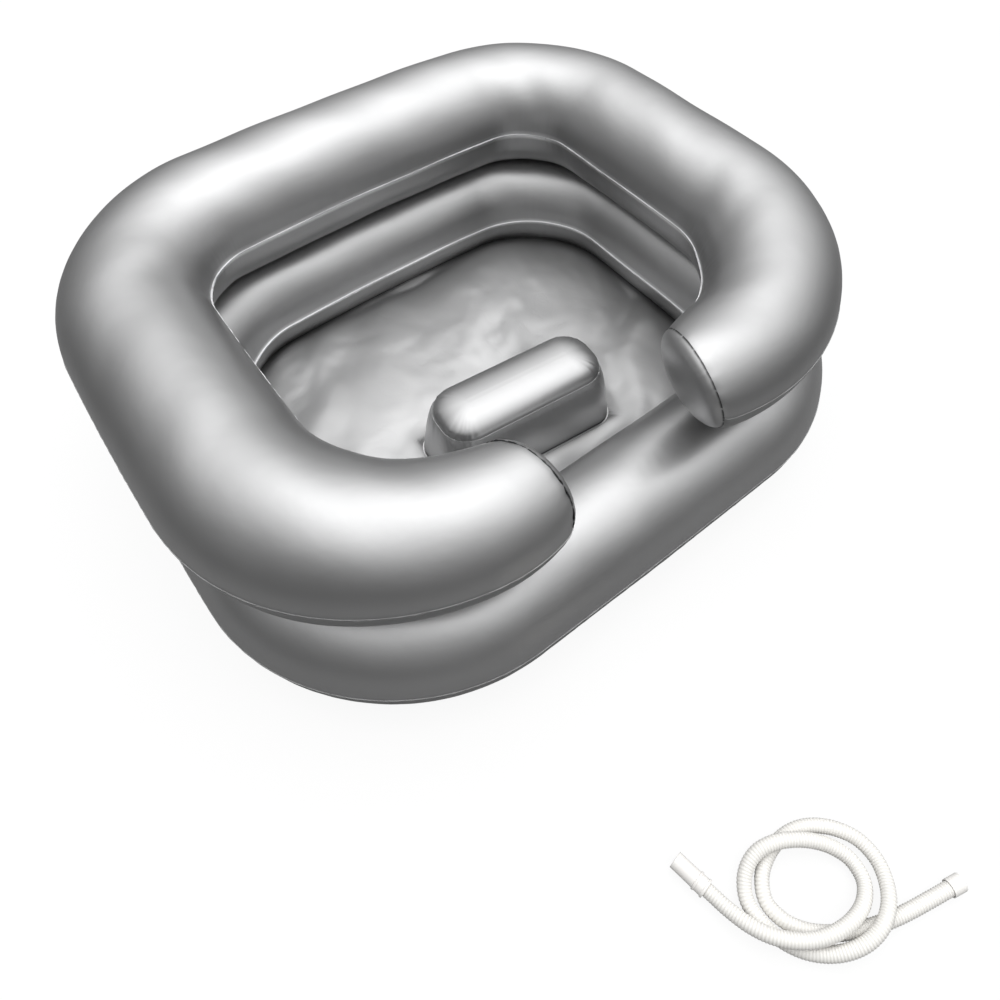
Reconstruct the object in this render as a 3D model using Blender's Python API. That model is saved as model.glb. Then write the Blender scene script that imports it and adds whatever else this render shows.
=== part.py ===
# Portable shampoo basin: two stacked rings of air-filled film, a film floor, an air-filled headrest,
# three inflation valves, a floor drain with its stopper, and a loose ribbed drain hose.
# Metres. +X runs right along the front, the neck gap faces -Y, +Z is up, the ground is Z = 0.
import math

import bmesh
import bpy
import numpy as np
from mathutils import Matrix, Vector

# The film and its welds
film = 0.0004
fit_gap = 0.0003
weld_lip = 0.002
cut_overrun = 0.004

# Centre line of the upper ring in plan: half length, back and front, corner radii, bow of the sides
upper = {
    "half_length": 0.2399, "back_y": 0.1931, "front_y": -0.2018, "back_radius": 0.0995,
    "front_radius": 0.1378, "side_bow_share": 0.027, "back_bow": 0.0128, "front_bow": -0.0043,
    "tube_radius": 0.0586, "centre_height": 0.152,
}
# Centre line of the lower ring, which is closed
lower = {
    "half_length": 0.2437, "back_y": 0.1771, "front_y": -0.2091, "back_radius": 0.1251,
    "front_radius": 0.1193, "side_bow_share": 0.028, "back_bow": 0.0128, "front_bow": 0.0026,
    "tube_radius": 0.0524, "centre_height": 0.0516,
}
contact_height = 0.0987

# Arms of the upper ring on both sides of the neck gap
right_end_x = 0.0663
left_end_x = -0.098
arm_taper_length = 0.19
arm_end_share = 0.774
arm_end_height_share = 0.93
arm_rise = 0.006
arm_forward = 0.005
right_end_turn = math.radians(-14.5)
left_end_turn = math.radians(12.0)
end_tilt = math.radians(13.0)
end_turn_length = 0.07
end_bulge = 0.015
# Where the film is drawn in to the weld of the end
end_draw_length = 0.035
end_draw_share = 0.066
end_draw_rise = 0.003
end_bulge_angles = (0.0, 0.35, 0.7, 1.05, 1.35)

# How finely the rings are divided
corner_steps = 6
side_steps = 3
arm_steps = 2
upper_top_steps = 9
flat_side_steps = 3
base_side_steps = 4
widest_flat_angle = math.radians(80.0)

# The film floor
floor_height = 0.018

# The headrest
headrest_centre = (-0.0035, -0.0775)
headrest_turn = math.radians(-5.5)
headrest_seam_height = 0.078
headrest_crown = 0.015
headrest_half_length = 0.078
headrest_half_depth = 0.030
headrest_corner_radius = 0.024
headrest_flare = 0.006
headrest_base_corner_radius = 0.018
headrest_belly = 0.006
headrest_belly_share = 0.5
headrest_corner_steps = 4
headrest_inset_shares = (0.1, 0.3, 0.6, 0.9)

# Inflation valves, along their own axis; zero is the outer face of the film
valve_sides = 12
valve_flange_radius = 0.009
valve_flange_thickness = 0.001
valve_stem_radius = 0.0044
valve_stem_wall = 0.0011
valve_stem_length = 0.015
valve_collar_wall = 0.001
valve_collar_depth = 0.003
valve_rim_overhang = 0.0012
valve_rim_thickness = 0.0012
valve_flap_thickness = 0.0006
valve_flap_overlap = 0.0006
plug_shank_length = 0.0055
plug_head_thickness = 0.0018
plug_head_radius = 0.0052
strap_width = 0.003
strap_thickness = 0.0007
strap_reach = 0.004
strap_bend_steps = 4
valve_facet = 1
upper_valve_offset = 0.022
lower_valve_offset = -0.022
headrest_valve_offset = 0.0

# Floor drain
drain_side_share = 0.525
drain_front_share = 0.564
drain_sides = 16
drain_flange_radius = 0.017
drain_flange_thickness = 0.0012
drain_seat_radius = 0.0085
drain_seat_draft = 0.0005
drain_seat_depth = 0.004
drain_wall = 0.0014
spout_radius = 0.0046
spout_bore_radius = 0.0034
spout_end_height = 0.0045
spout_cone_depth = 0.0035
stopper_head_radius = 0.0115
stopper_head_thickness = 0.0015
stopper_knob_radius = 0.004
stopper_knob_waist = 0.0026
stopper_knob_height = 0.005
drain_strap_width = 0.005
drain_strap_length = 0.026
drain_strap_direction = math.radians(140.0)

# Drain hose
hose_radius = 0.005
hose_root_radius = 0.0044
hose_bore_radius = 0.0034
hose_sides = 8
hose_ribs = 104
hose_bore_rows = 104
hose_span_steps = 12
rib_crest_share = 0.25
rib_root_share = 0.75
own_stretch = 0.04
hose_route = [
    (-0.1329, -0.4140, 0.0070), (-0.1306, -0.4278, 0.0070), (-0.1283, -0.4416, 0.0071),
    (-0.1262, -0.4554, 0.0093), (-0.1229, -0.4687, 0.0128), (-0.1169, -0.4808, 0.0153),
    (-0.1075, -0.4914, 0.0159), (-0.0960, -0.4995, 0.0155), (-0.0830, -0.5047, 0.0159),
    (-0.0691, -0.5069, 0.0150), (-0.0555, -0.5054, 0.0120), (-0.0442, -0.4987, 0.0075),
    (-0.0401, -0.4859, 0.0057), (-0.0450, -0.4731, 0.0085), (-0.0537, -0.4627, 0.0122),
    (-0.0645, -0.4541, 0.0151), (-0.0768, -0.4473, 0.0157), (-0.0903, -0.4443, 0.0134),
    (-0.1031, -0.4481, 0.0094), (-0.1120, -0.4583, 0.0062), (-0.1141, -0.4720, 0.0053),
    (-0.1113, -0.4858, 0.0053), (-0.1048, -0.4983, 0.0057), (-0.0954, -0.5086, 0.0076),
    (-0.0839, -0.5161, 0.0108), (-0.0709, -0.5202, 0.0140), (-0.0570, -0.5200, 0.0158),
    (-0.0439, -0.5152, 0.0145), (-0.0334, -0.5068, 0.0104), (-0.0264, -0.4954, 0.0063),
    (-0.0262, -0.4815, 0.0053), (-0.0323, -0.4689, 0.0053), (-0.0419, -0.4586, 0.0053),
    (-0.0540, -0.4516, 0.0053), (-0.0678, -0.4488, 0.0053), (-0.0818, -0.4504, 0.0053),
    (-0.0945, -0.4563, 0.0053), (-0.1028, -0.4673, 0.0053), (-0.1016, -0.4811, 0.0053),
    (-0.0946, -0.4933, 0.0053), (-0.0844, -0.5030, 0.0053), (-0.0727, -0.5108, 0.0053),
    (-0.0601, -0.5173, 0.0053), (-0.0471, -0.5227, 0.0053), (-0.0337, -0.5271, 0.0053),
    (-0.0204, -0.5308, 0.0056), (-0.0069, -0.5344, 0.0061), (0.0066, -0.5380, 0.0062),
]

# Hose cuffs: the stepped one that is pushed on to the drain spout, and the plain outlet one
cuff_sides = 16
cuff_radius = 0.0058
cuff_mouth_bore_radius = 0.0049
cuff_mouth_length = 0.017
cuff_ring_radius = 0.0066
cuff_ring_width = 0.0016
cuff_neck_length = 0.0045
cuff_socket_length = 0.008
cuff_socket_wall = 0.0007
end_cuff_radius = 0.0058
end_cuff_length = 0.010
end_cuff_mouth_length = 0.003
end_cuff_mouth_bore_radius = 0.0042


def clear_scene():
    for old in list(bpy.data.objects):
        bpy.data.objects.remove(old, do_unlink=True)


def give_material(obj, colour, roughness, metallic):
    material = bpy.data.materials.new(obj.name + "_material")
    material.use_nodes = True
    shader = material.node_tree.nodes["Principled BSDF"]
    shader.inputs["Base Color"].default_value = (colour[0], colour[1], colour[2], 1.0)
    shader.inputs["Roughness"].default_value = roughness
    shader.inputs["Metallic"].default_value = metallic
    obj.data.materials.append(material)


film_look = ((0.40, 0.40, 0.41), 0.34, 0.35)
floor_look = ((0.52, 0.52, 0.53), 0.4, 0.2)
valve_look = ((0.34, 0.34, 0.35), 0.45, 0.0)
plug_look = ((0.30, 0.30, 0.31), 0.45, 0.0)
hose_look = ((0.82, 0.80, 0.75), 0.5, 0.0)
cuff_look = ((0.84, 0.79, 0.75), 0.45, 0.0)
smooth_angle = math.radians(35.0)


def add_object(name, points, faces, look, place=None):
    """A mesh object from points and faces, faces turned outward, set where its matrix says."""
    mesh = bpy.data.meshes.new(name)
    mesh.from_pydata([tuple(float(c) for c in p) for p in points], [], faces)
    work = bmesh.new()
    work.from_mesh(mesh)
    bmesh.ops.recalc_face_normals(work, faces=work.faces)
    work.to_mesh(mesh)
    work.free()
    mesh.shade_smooth()
    mesh.set_sharp_from_angle(angle=smooth_angle)
    obj = bpy.data.objects.new(name, mesh)
    bpy.context.scene.collection.objects.link(obj)
    if place is not None:
        obj.location = place.to_translation()
        obj.rotation_euler = place.to_euler()
    give_material(obj, *look)
    return obj


def two_sided(name, outside, inside, look, loop_rows=False, loop_columns=False, capped=False, place=None):
    """A thin body between two grids of points, closed along every open edge.

    Both sides are split along the same diagonals, so that the two never cross.
    """
    rows, columns = outside.shape[0], outside.shape[1]
    count = rows * columns
    points = np.concatenate([outside.reshape(count, 3), inside.reshape(count, 3)])

    def index(side, row, column):
        return side * count + (row % rows) * columns + (column % columns)

    row_range = range(rows if loop_rows else rows - 1)
    column_range = range(columns if loop_columns else columns - 1)
    faces = []
    for i in row_range:
        for j in column_range:
            for side in (0, 1):
                here = index(side, i, j)
                beyond = index(side, i + 1, j + 1)
                first = [here, index(side, i, j + 1), beyond]
                second = [here, beyond, index(side, i + 1, j)]
                faces += [first, second] if side == 0 else [first[::-1], second[::-1]]
    if not loop_columns:
        for i in row_range:
            for j in (0, columns - 1):
                faces.append([index(0, i, j), index(0, i + 1, j), index(1, i + 1, j), index(1, i, j)])
    if not loop_rows:
        for i in (0,) if capped else (0, rows - 1):
            for j in column_range:
                faces.append([index(0, i, j), index(0, i, j + 1), index(1, i, j + 1), index(1, i, j)])
    if capped:
        for side in (0, 1):
            faces.append([index(side, rows - 1, j) for j in range(columns)])
    return add_object(name, points, faces, look, place)


def turned(name, profile, sides, look, place):
    """A round piece from a closed outline of (radius, height) that stays off the axis."""
    angles = np.arange(sides) * (math.tau / sides)
    radii = np.array([p[0] for p in profile])
    heights = np.array([p[1] for p in profile])
    grid = np.stack([
        np.outer(np.cos(angles), radii), np.outer(np.sin(angles), radii),
        np.broadcast_to(heights, (sides, len(profile))),
    ], axis=2)
    points = grid.reshape(-1, 3)
    width = len(profile)
    faces = []
    for i in range(sides):
        for j in range(width):
            after = (i + 1) % sides
            step = (j + 1) % width
            faces.append([i * width + j, after * width + j, after * width + step, i * width + step])
    return add_object(name, points, faces, look, place)


def solid_turned(name, profile, sides, look, place):
    """A round piece without a bore, from its outer outline, with a flat disc at both ends."""
    angles = np.arange(sides) * (math.tau / sides)
    points = []
    for radius, height in profile:
        for angle in angles:
            points.append((radius * math.cos(angle), radius * math.sin(angle), height))
    faces = []
    for i in range(len(profile) - 1):
        for j in range(sides):
            after = (j + 1) % sides
            faces.append([i * sides + j, i * sides + after, (i + 1) * sides + after, (i + 1) * sides + j])
    faces.append(list(range(sides)))
    faces.append([(len(profile) - 1) * sides + j for j in range(sides)])
    return add_object(name, points, faces, look, place)


def cut_round_hole(target, radius, place, sides):
    """A round hole through a film, by a hidden cutter."""
    name = target.name + "_hole_cutter"
    profile = [(radius, -cut_overrun), (radius, cut_overrun)]
    cutter = solid_turned(name, profile, sides, valve_look, place)
    cutter.hide_render = True
    cutter.display_type = "WIRE"
    cut = target.modifiers.new("hole", "BOOLEAN")
    cut.operation = "DIFFERENCE"
    cut.solver = "EXACT"
    cut.object = cutter


def ease(value):
    """A share that leaves 0 and reaches 1 without a corner."""
    value = np.clip(value, 0.0, 1.0)
    return value * value * (3.0 - 2.0 * value)


def corner(centre_x, centre_y, radius, start, steps):
    angles = start + np.linspace(0.0, math.pi / 2.0, steps + 1)
    return np.stack([centre_x + radius * np.cos(angles), centre_y + radius * np.sin(angles)], axis=1)


def between(first, last, steps):
    shares = np.arange(1, steps)[:, None] / steps
    return np.asarray(first) * (1.0 - shares) + np.asarray(last) * shares


def bowed(points, ring):
    """The sides pushed outward, most at their middles, by a parabola."""
    middle = (ring["back_y"] + ring["front_y"]) / 2.0
    half = (ring["back_y"] - ring["front_y"]) / 2.0
    x = points[:, 0]
    y = points[:, 1]
    along = 1.0 - (x / ring["half_length"]) ** 2
    across = (y - middle) / half
    push = np.where(across > 0.0, ring["back_bow"], -ring["front_bow"])
    new_x = x * (1.0 + ring["side_bow_share"] * (1.0 - across ** 2))
    new_y = y + push * along * np.abs(across)
    return np.stack([new_x, new_y], axis=1)


def ring_line(ring, ends=None):
    """Points and outward directions of a ring's centre line, anticlockwise from its front right."""
    half = ring["half_length"]
    front = ring["front_y"]
    back = ring["back_y"]
    small = ring["front_radius"]
    large = ring["back_radius"]
    right_front = corner(half - small, front + small, small, -math.pi / 2.0, corner_steps)
    right_back = corner(half - large, back - large, large, 0.0, corner_steps)
    left_back = corner(large - half, back - large, large, math.pi / 2.0, corner_steps)
    left_front = corner(small - half, front + small, small, math.pi, corner_steps)
    parts = [right_front, between(right_front[-1], right_back[0], side_steps), right_back]
    parts += [between(right_back[-1], left_back[0], side_steps), left_back]
    parts += [between(left_back[-1], left_front[0], side_steps), left_front]
    if ends is None:
        parts.append(between(left_front[-1], right_front[0], side_steps))
    else:
        right_end = np.array([[ends[0], front]])
        left_end = np.array([[ends[1], front]])
        parts[-1] = left_front[:-1]
        parts = [right_end, between(right_end[0], right_front[0], arm_steps)] + parts + [left_end]
    points = bowed(np.concatenate(parts), ring)
    if ends is None:
        along = np.roll(points, -1, axis=0) - np.roll(points, 1, axis=0)
    else:
        along = np.gradient(points, axis=0)
    outward = np.stack([along[:, 1], -along[:, 0]], axis=1)
    outward /= np.linalg.norm(outward, axis=1)[:, None]
    return points, outward


def arm_shares(points):
    """How far each point is from its nearer arm end: eased shares, 1 at the end."""
    steps = np.linalg.norm(np.diff(points, axis=0), axis=1)
    travelled = np.concatenate([[0.0], np.cumsum(steps)])
    left = travelled[-1] - travelled
    nearer = np.minimum(travelled, left)
    shares = [ease(1.0 - nearer / length) for length in (arm_taper_length, end_turn_length, end_draw_length)]
    return *shares, travelled < left


def upper_sections():
    """Centre, across and up directions, radius and half height of each section of the upper ring."""
    points, outward = ring_line(upper, (right_end_x, left_end_x))
    taper, turn, draw, on_right = arm_shares(points)
    sections = []
    for i in range(len(points)):
        angle = turn[i] * (right_end_turn if on_right[i] else left_end_turn)
        spin = Matrix.Rotation(angle, 3, "Z")
        across = spin @ Vector((outward[i][0], outward[i][1], 0.0))
        into_gap = Vector((0.0, 0.0, 1.0)).cross(across)
        if on_right[i]:
            into_gap = -into_gap
        tilt = end_tilt * turn[i]
        up = Vector((0.0, 0.0, math.cos(tilt))) + into_gap * math.sin(tilt)
        narrowing = (1.0 - arm_end_share) * taper[i] + end_draw_share * draw[i]
        radius = upper["tube_radius"] * (1.0 - narrowing)
        half_height = radius * (1.0 - (1.0 - arm_end_height_share) * taper[i])
        centre = Vector((points[i][0], points[i][1] - arm_forward * taper[i],
                         upper["centre_height"] + arm_rise * taper[i] + end_draw_rise * draw[i]))
        sections.append((centre, across, up, radius, half_height, into_gap))
    return sections


def lower_sections():
    points, outward = ring_line(lower)
    up = Vector((0.0, 0.0, 1.0))
    sections = []
    for i in range(len(points)):
        across = Vector((outward[i][0], outward[i][1], 0.0))
        centre = Vector((points[i][0], points[i][1], lower["centre_height"]))
        radius = lower["tube_radius"]
        sections.append((centre, across, up, radius, radius, up.cross(across)))
    return sections


def half_outline(radius, half_height, flat_rise, steps):
    """Half a tube's outline as (across, up), with a flat where it is pressed on its neighbour."""
    if flat_rise is None:
        angles = np.linspace(0.0, math.pi, steps + 1)
        return np.stack([radius * np.cos(angles), half_height * np.sin(angles)], axis=1)
    limit = math.asin(min(flat_rise / half_height, math.sin(widest_flat_angle)))
    first = np.linspace(0.0, limit, steps + 1)
    angles = np.concatenate([first, math.pi - first[::-1]])
    return np.stack([radius * np.cos(angles), half_height * np.sin(angles)], axis=1)


def ring_film(name, sections, side, flat_height, steps, closed):
    """One half of a ring's film, with a weld lip along its inner and outer equators."""
    outside = []
    inside = []
    seam = fit_gap / 2.0
    for centre, across, up, radius, half_height, _ in sections:
        rise = None if flat_height is None else abs(centre.z - flat_height)
        thin_rise = None if rise is None else rise - film
        outer = half_outline(radius, half_height, rise, steps)[1:-1]
        inner = half_outline(radius - film, half_height - film, thin_rise, steps)[1:-1]
        edge = radius + weld_lip
        core = radius - film
        top = [(edge, seam + film), (radius, seam + film), *outer]
        top += [(-radius, seam + film), (-edge, seam + film)]
        under = [(edge, seam), (core, seam), *inner, (-core, seam), (-edge, seam)]
        outside.append([centre + across * float(u) + up * (side * float(v)) for u, v in top])
        inside.append([centre + across * float(u) + up * (side * float(v)) for u, v in under])
    return two_sided(name, np.array(outside), np.array(inside), film_look, loop_rows=closed)


def end_panel(name, section, sides):
    """A round end of an arm: a film disc with a weld lip, pushed outward by the air."""
    centre, across, up, radius, half_height, into_gap = section
    normal = across.cross(up)
    if normal.dot(into_gap) < 0.0:
        normal = -normal
    angles = np.arange(sides) * (math.tau / sides)
    rings = [(weld_lip, 1.0, 0.0)]
    for angle in end_bulge_angles:
        rings.append((0.0, math.cos(angle), end_bulge * math.sin(angle)))
    outside = []
    inside = []
    for lip, share, out in rings:
        outer_row = []
        inner_row = []
        for angle in angles:
            width = radius * share + lip
            height = half_height * share + lip
            flat = centre + across * (width * math.cos(angle)) + up * (height * math.sin(angle))
            outer_row.append(flat + normal * (fit_gap + film + out))
            inner_row.append(flat + normal * (fit_gap + out))
        outside.append(outer_row)
        inside.append(inner_row)
    return two_sided(name, np.array(outside), np.array(inside), film_look, loop_columns=True, capped=True)


def floor_film():
    """The floor inside the lower ring, welded to it low down."""
    points, outward = ring_line(lower)
    drop = lower["centre_height"] - floor_height
    inset = math.sqrt(lower["tube_radius"] ** 2 - drop ** 2) + fit_gap
    edge = points - outward * inset
    top = [(p[0], p[1], floor_height) for p in edge]
    low = [(p[0], p[1], floor_height - film) for p in edge]
    count = len(top)
    faces = [list(range(count)), [count + i for i in range(count)][::-1]]
    for i in range(count):
        after = (i + 1) % count
        faces.append([i, count + i, count + after, after])
    return add_object("floor_film", top + low, faces, floor_look)


def rounded_outline(half_x, half_y, radius):
    """A rectangle with round corners, anticlockwise."""
    steps = headrest_corner_steps
    return np.concatenate([
        corner(half_x - radius, half_y - radius, radius, 0.0, steps),
        corner(radius - half_x, half_y - radius, radius, math.pi / 2.0, steps),
        corner(radius - half_x, radius - half_y, radius, math.pi, steps),
        corner(half_x - radius, radius - half_y, radius, math.pi * 1.5, steps),
    ])


def headrest_row(grow, radius, height, spin):
    """One closed row of the headrest at a height, its outline grown by a length."""
    outline = rounded_outline(headrest_half_length + grow, headrest_half_depth + grow, radius)
    turned_outline = outline @ spin.T + np.array(headrest_centre)
    return np.column_stack([turned_outline, np.full(len(outline), height)])


def headrest():
    cosine = math.cos(headrest_turn)
    sine = math.sin(headrest_turn)
    spin = np.array([[cosine, -sine], [sine, cosine]])
    seam = fit_gap / 2.0
    corner_radius = headrest_corner_radius
    top_seam = headrest_seam_height + seam
    outside = [headrest_row(weld_lip, corner_radius + weld_lip, top_seam + film, spin)]
    outside.append(headrest_row(0.0, corner_radius, top_seam + film, spin))
    inside = [headrest_row(weld_lip, corner_radius + weld_lip, top_seam, spin)]
    inside.append(headrest_row(-film, corner_radius - film, top_seam, spin))
    for share in headrest_inset_shares:
        inset = headrest_half_depth * share
        radius = max(corner_radius - inset, (headrest_half_depth - inset) / 2.0)
        height = headrest_seam_height + headrest_crown * math.sqrt(1.0 - (1.0 - share) ** 2)
        outside.append(headrest_row(-inset, radius, height, spin))
        inside.append(headrest_row(-inset - film, radius - film / 2.0, height - film, spin))
    two_sided("headrest_top_film", np.array(outside), np.array(inside), film_look,
              loop_columns=True, capped=True)

    base = floor_height + fit_gap
    low_seam = headrest_seam_height - seam
    middle = base + (low_seam - base) * headrest_belly_share
    base_radius = headrest_base_corner_radius
    flare = headrest_flare
    outside = [
        headrest_row(flare + weld_lip, base_radius + weld_lip, base + film, spin),
        headrest_row(flare, base_radius, base + film, spin),
        headrest_row(headrest_belly, corner_radius, middle, spin),
        headrest_row(0.0, corner_radius, low_seam - film, spin),
        headrest_row(weld_lip, corner_radius + weld_lip, low_seam - film, spin),
    ]
    inside = [
        headrest_row(flare + weld_lip, base_radius + weld_lip, base, spin),
        headrest_row(flare - film, base_radius - film, base, spin),
        headrest_row(headrest_belly - film, corner_radius - film, middle, spin),
        headrest_row(-film, corner_radius - film, low_seam, spin),
        headrest_row(weld_lip, corner_radius + weld_lip, low_seam, spin),
    ]
    outside = np.array(outside)
    band = two_sided("headrest_side_band", outside, np.array(inside), film_look, loop_columns=True)
    back_left = headrest_corner_steps
    facet = [outside[1][back_left], outside[1][back_left + 1]]
    facet += [outside[2][back_left + 1], outside[2][back_left]]
    return band, facet


def facet_place(facet, slide):
    """The place of a valve on a flat facet: its origin on the face, its Z axis straight out."""
    corners = [Vector(p) for p in facet]
    middle = sum(corners, Vector()) / len(corners)
    along = (corners[1] - corners[0]).normalized()
    out = along.cross(corners[3] - corners[0]).normalized()
    side = out.cross(along)
    turn = Matrix((along, side, out)).transposed().to_4x4()
    return Matrix.Translation(middle + along * slide) @ turn


def ring_facet(sections, steps, step, flat_height):
    """The outer facet in the middle of a ring's back, on its outer side above the equator."""
    corners = []
    back = max(section[0].y for section in sections)
    middle = [i for i in range(len(sections)) if sections[i][0].y > back - film]
    first, last = middle[0], middle[-1]
    for i, j in ((first, step), (last, step), (last, step + 1), (first, step + 1)):
        centre, across, up, radius, half_height, _ = sections[i]
        rise = None if flat_height is None else abs(centre.z - flat_height)
        u, v = half_outline(radius, half_height, rise, steps)[j]
        corners.append(centre + across * float(u) + up * float(v))
    return corners


def add_strap(name, place, root, tip_height, root_height):
    """A flat strap bent double, from the rim of the stem out and back to the head of the plug."""
    turn_radius = (tip_height - root_height) / 2.0
    reach = root + strap_reach
    line = [(root, root_height)]
    for i in range(strap_bend_steps + 1):
        angle = -math.pi / 2.0 + math.pi * i / strap_bend_steps
        rise = turn_radius * (1.0 + math.sin(angle))
        line.append((reach + turn_radius * math.cos(angle), root_height + rise))
    line.append((root, tip_height))
    ribbon(name, [Vector((x, 0.0, z)) for x, z in line], strap_width, strap_thickness, valve_look, place)


def ribbon(name, line, width, thickness, look, place):
    """A flat strip along a line that stays in the local XZ plane."""
    outer = []
    inner = []
    for i, point in enumerate(line):
        before = line[max(i - 1, 0)]
        after = line[min(i + 1, len(line) - 1)]
        along = (after - before).normalized()
        out = Vector((along.z, 0.0, -along.x)) * (thickness / 2.0)
        edge = Vector((0.0, width / 2.0, 0.0))
        outer.append([point + out - edge, point + out + edge])
        inner.append([point - out - edge, point - out + edge])
    return two_sided(name, np.array(outer), np.array(inner), look, place=place)


def valve(prefix, place, wall):
    """An inflation valve: welded body, sliding stem, non-return flap, plug and strap."""
    bore = valve_stem_radius + fit_gap
    collar = bore + valve_collar_wall
    cut_round_hole(wall, collar + fit_gap, place, valve_sides)
    base = fit_gap
    top = base + valve_flange_thickness
    body = [(bore, -valve_collar_depth), (collar, -valve_collar_depth), (collar, base)]
    body += [(valve_flange_radius, base), (valve_flange_radius, top), (bore, top)]
    turned(prefix + "_body", body, valve_sides, valve_look, place)

    stem_bore = valve_stem_radius - valve_stem_wall
    rim_base = top + fit_gap
    rim_top = rim_base + valve_rim_thickness
    rim = valve_stem_radius + valve_rim_overhang
    end = rim_top - valve_stem_length
    bead = valve_stem_radius + valve_collar_wall
    stem = [(stem_bore, end), (bead, end), (bead, end + valve_rim_thickness)]
    stem += [(valve_stem_radius, end + valve_rim_thickness), (valve_stem_radius, rim_base)]
    stem += [(rim, rim_base), (rim, rim_top), (stem_bore, rim_top)]
    turned(prefix + "_stem", stem, valve_sides, valve_look, place)

    flap_radius = stem_bore + valve_flap_overlap
    hinge = place @ Matrix.Translation((-flap_radius, 0.0, end - fit_gap))
    flap = solid_turned(prefix + "_flap", [(flap_radius, -valve_flap_thickness), (flap_radius, 0.0)],
                        valve_sides, valve_look, hinge)
    for vertex in flap.data.vertices:
        vertex.co.x += flap_radius

    shank = stem_bore - fit_gap
    head_base = rim_top + fit_gap
    head_top = head_base + plug_head_thickness
    plug = [(shank, rim_top - plug_shank_length), (shank, head_base)]
    plug += [(plug_head_radius, head_base), (plug_head_radius, head_top)]
    solid_turned(prefix + "_plug", plug, valve_sides, plug_look, place)

    root = rim + fit_gap
    middle_rim = rim_base + valve_rim_thickness / 2.0
    middle_head = head_base + plug_head_thickness / 2.0
    add_strap(prefix + "_strap", place, root, middle_head, middle_rim)


def drain(floor):
    """Drain body with its spout, the stopper, and the strap that keeps the stopper."""
    drain_x = -lower["half_length"] * drain_side_share
    drain_y = lower["front_y"] * drain_front_share
    place = Matrix.Translation((drain_x, drain_y, 0.0))
    collar = drain_seat_radius + drain_wall
    hole_place = Matrix.Translation((drain_x, drain_y, floor_height))
    cut_round_hole(floor, collar + fit_gap, hole_place, drain_sides)
    base = floor_height + fit_gap
    top = base + drain_flange_thickness
    seat_foot = top - drain_seat_depth
    cone_foot = seat_foot - spout_cone_depth
    seat_low = drain_seat_radius - drain_seat_draft
    body = [
        (drain_seat_radius, top), (seat_low, seat_foot), (spout_bore_radius, cone_foot),
        (spout_bore_radius, spout_end_height), (spout_radius, spout_end_height),
        (spout_radius, cone_foot), (collar, seat_foot), (collar, base),
        (drain_flange_radius, base), (drain_flange_radius, top),
    ]
    turned("drain_body", body, drain_sides, valve_look, place)

    head_base = top + fit_gap
    head_top = head_base + stopper_head_thickness
    knob_top = head_top + stopper_knob_height
    middle = (head_top + knob_top) / 2.0
    stopper = [
        (seat_low - fit_gap, seat_foot + drain_wall), (drain_seat_radius - fit_gap, head_base),
        (stopper_head_radius, head_base), (stopper_head_radius, head_top),
        (stopper_knob_waist, head_top), (stopper_knob_waist, middle),
        (stopper_knob_radius, middle + fit_gap), (stopper_knob_radius, knob_top),
    ]
    solid_turned("drain_stopper", stopper, drain_sides, plug_look, place)

    aim = place @ Matrix.Rotation(drain_strap_direction, 4, "Z")
    start = stopper_head_radius + fit_gap
    end = start + drain_strap_length
    high = head_base + stopper_head_thickness / 2.0
    low = floor_height + fit_gap + strap_thickness / 2.0
    fall = (drain_flange_radius + fit_gap + strap_thickness - start) / drain_strap_length
    line = []
    for share in (0.0, fall, (1.0 + fall) / 2.0):
        height = high if share <= fall else low
        line.append(Vector((start + (end - start) * share, 0.0, height)))
    line.append(Vector((end, 0.0, low)))
    ribbon("drain_strap", line, drain_strap_width, strap_thickness, plug_look, aim)


def smooth_route(points, steps):
    """A Catmull-Rom curve through the points."""
    points = np.asarray(points)
    padded = np.vstack([2.0 * points[0] - points[1], points, 2.0 * points[-1] - points[-2]])
    spans = []
    shares = (np.arange(steps) / steps)[:, None]
    for i in range(1, len(padded) - 2):
        a, b, c, d = padded[i - 1:i + 3]
        cubic = (3.0 * b - a - 3.0 * c + d) * shares ** 3
        square = (2.0 * a - 5.0 * b + 4.0 * c - d) * shares ** 2
        spans.append((2.0 * b + (c - a) * shares + square + cubic) / 2.0)
    return np.vstack(spans + [points[-1:]])


def carried_frames(line):
    """Directions along and across a line, the cross directions carried without twist."""
    along = np.gradient(line, axis=0)
    along /= np.linalg.norm(along, axis=1)[:, None]
    side = np.cross(along[0], (0.0, 0.0, 1.0))
    sides = []
    for direction in along:
        side = side - direction * np.dot(side, direction)
        side = side / np.linalg.norm(side)
        sides.append(side)
    sides = np.array(sides)
    return along, sides, np.cross(sides, along)


def tube_rows(line, travelled, sides_a, sides_b, stations, radii):
    """Rows of points round a line at the given distances and radii."""
    centre = np.stack([np.interp(stations, travelled, line[:, k]) for k in range(3)], axis=1)
    first = np.stack([np.interp(stations, travelled, sides_a[:, k]) for k in range(3)], axis=1)
    second = np.stack([np.interp(stations, travelled, sides_b[:, k]) for k in range(3)], axis=1)
    angles = np.arange(hose_sides) * (math.tau / hose_sides)
    wheel = first[:, None] * np.cos(angles)[None, :, None] + second[:, None] * np.sin(angles)[None, :, None]
    return centre[:, None] + wheel * radii[:, None, None]


def least_gap(line, travelled):
    """The least clear distance of the hose to itself, away from its own neighbourhood."""
    apart = np.linalg.norm(line[:, None] - line[None], axis=2)
    near = np.abs(travelled[:, None] - travelled[None]) < own_stretch
    return float(np.where(near, 1.0, apart).min() - 2.0 * hose_radius)


def axis_place(point, direction):
    """A place at a point of the route, its Z axis along the route."""
    turn = Vector(direction).to_track_quat("Z", "Y").to_matrix().to_4x4()
    return Matrix.Translation(Vector(point)) @ turn


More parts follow.
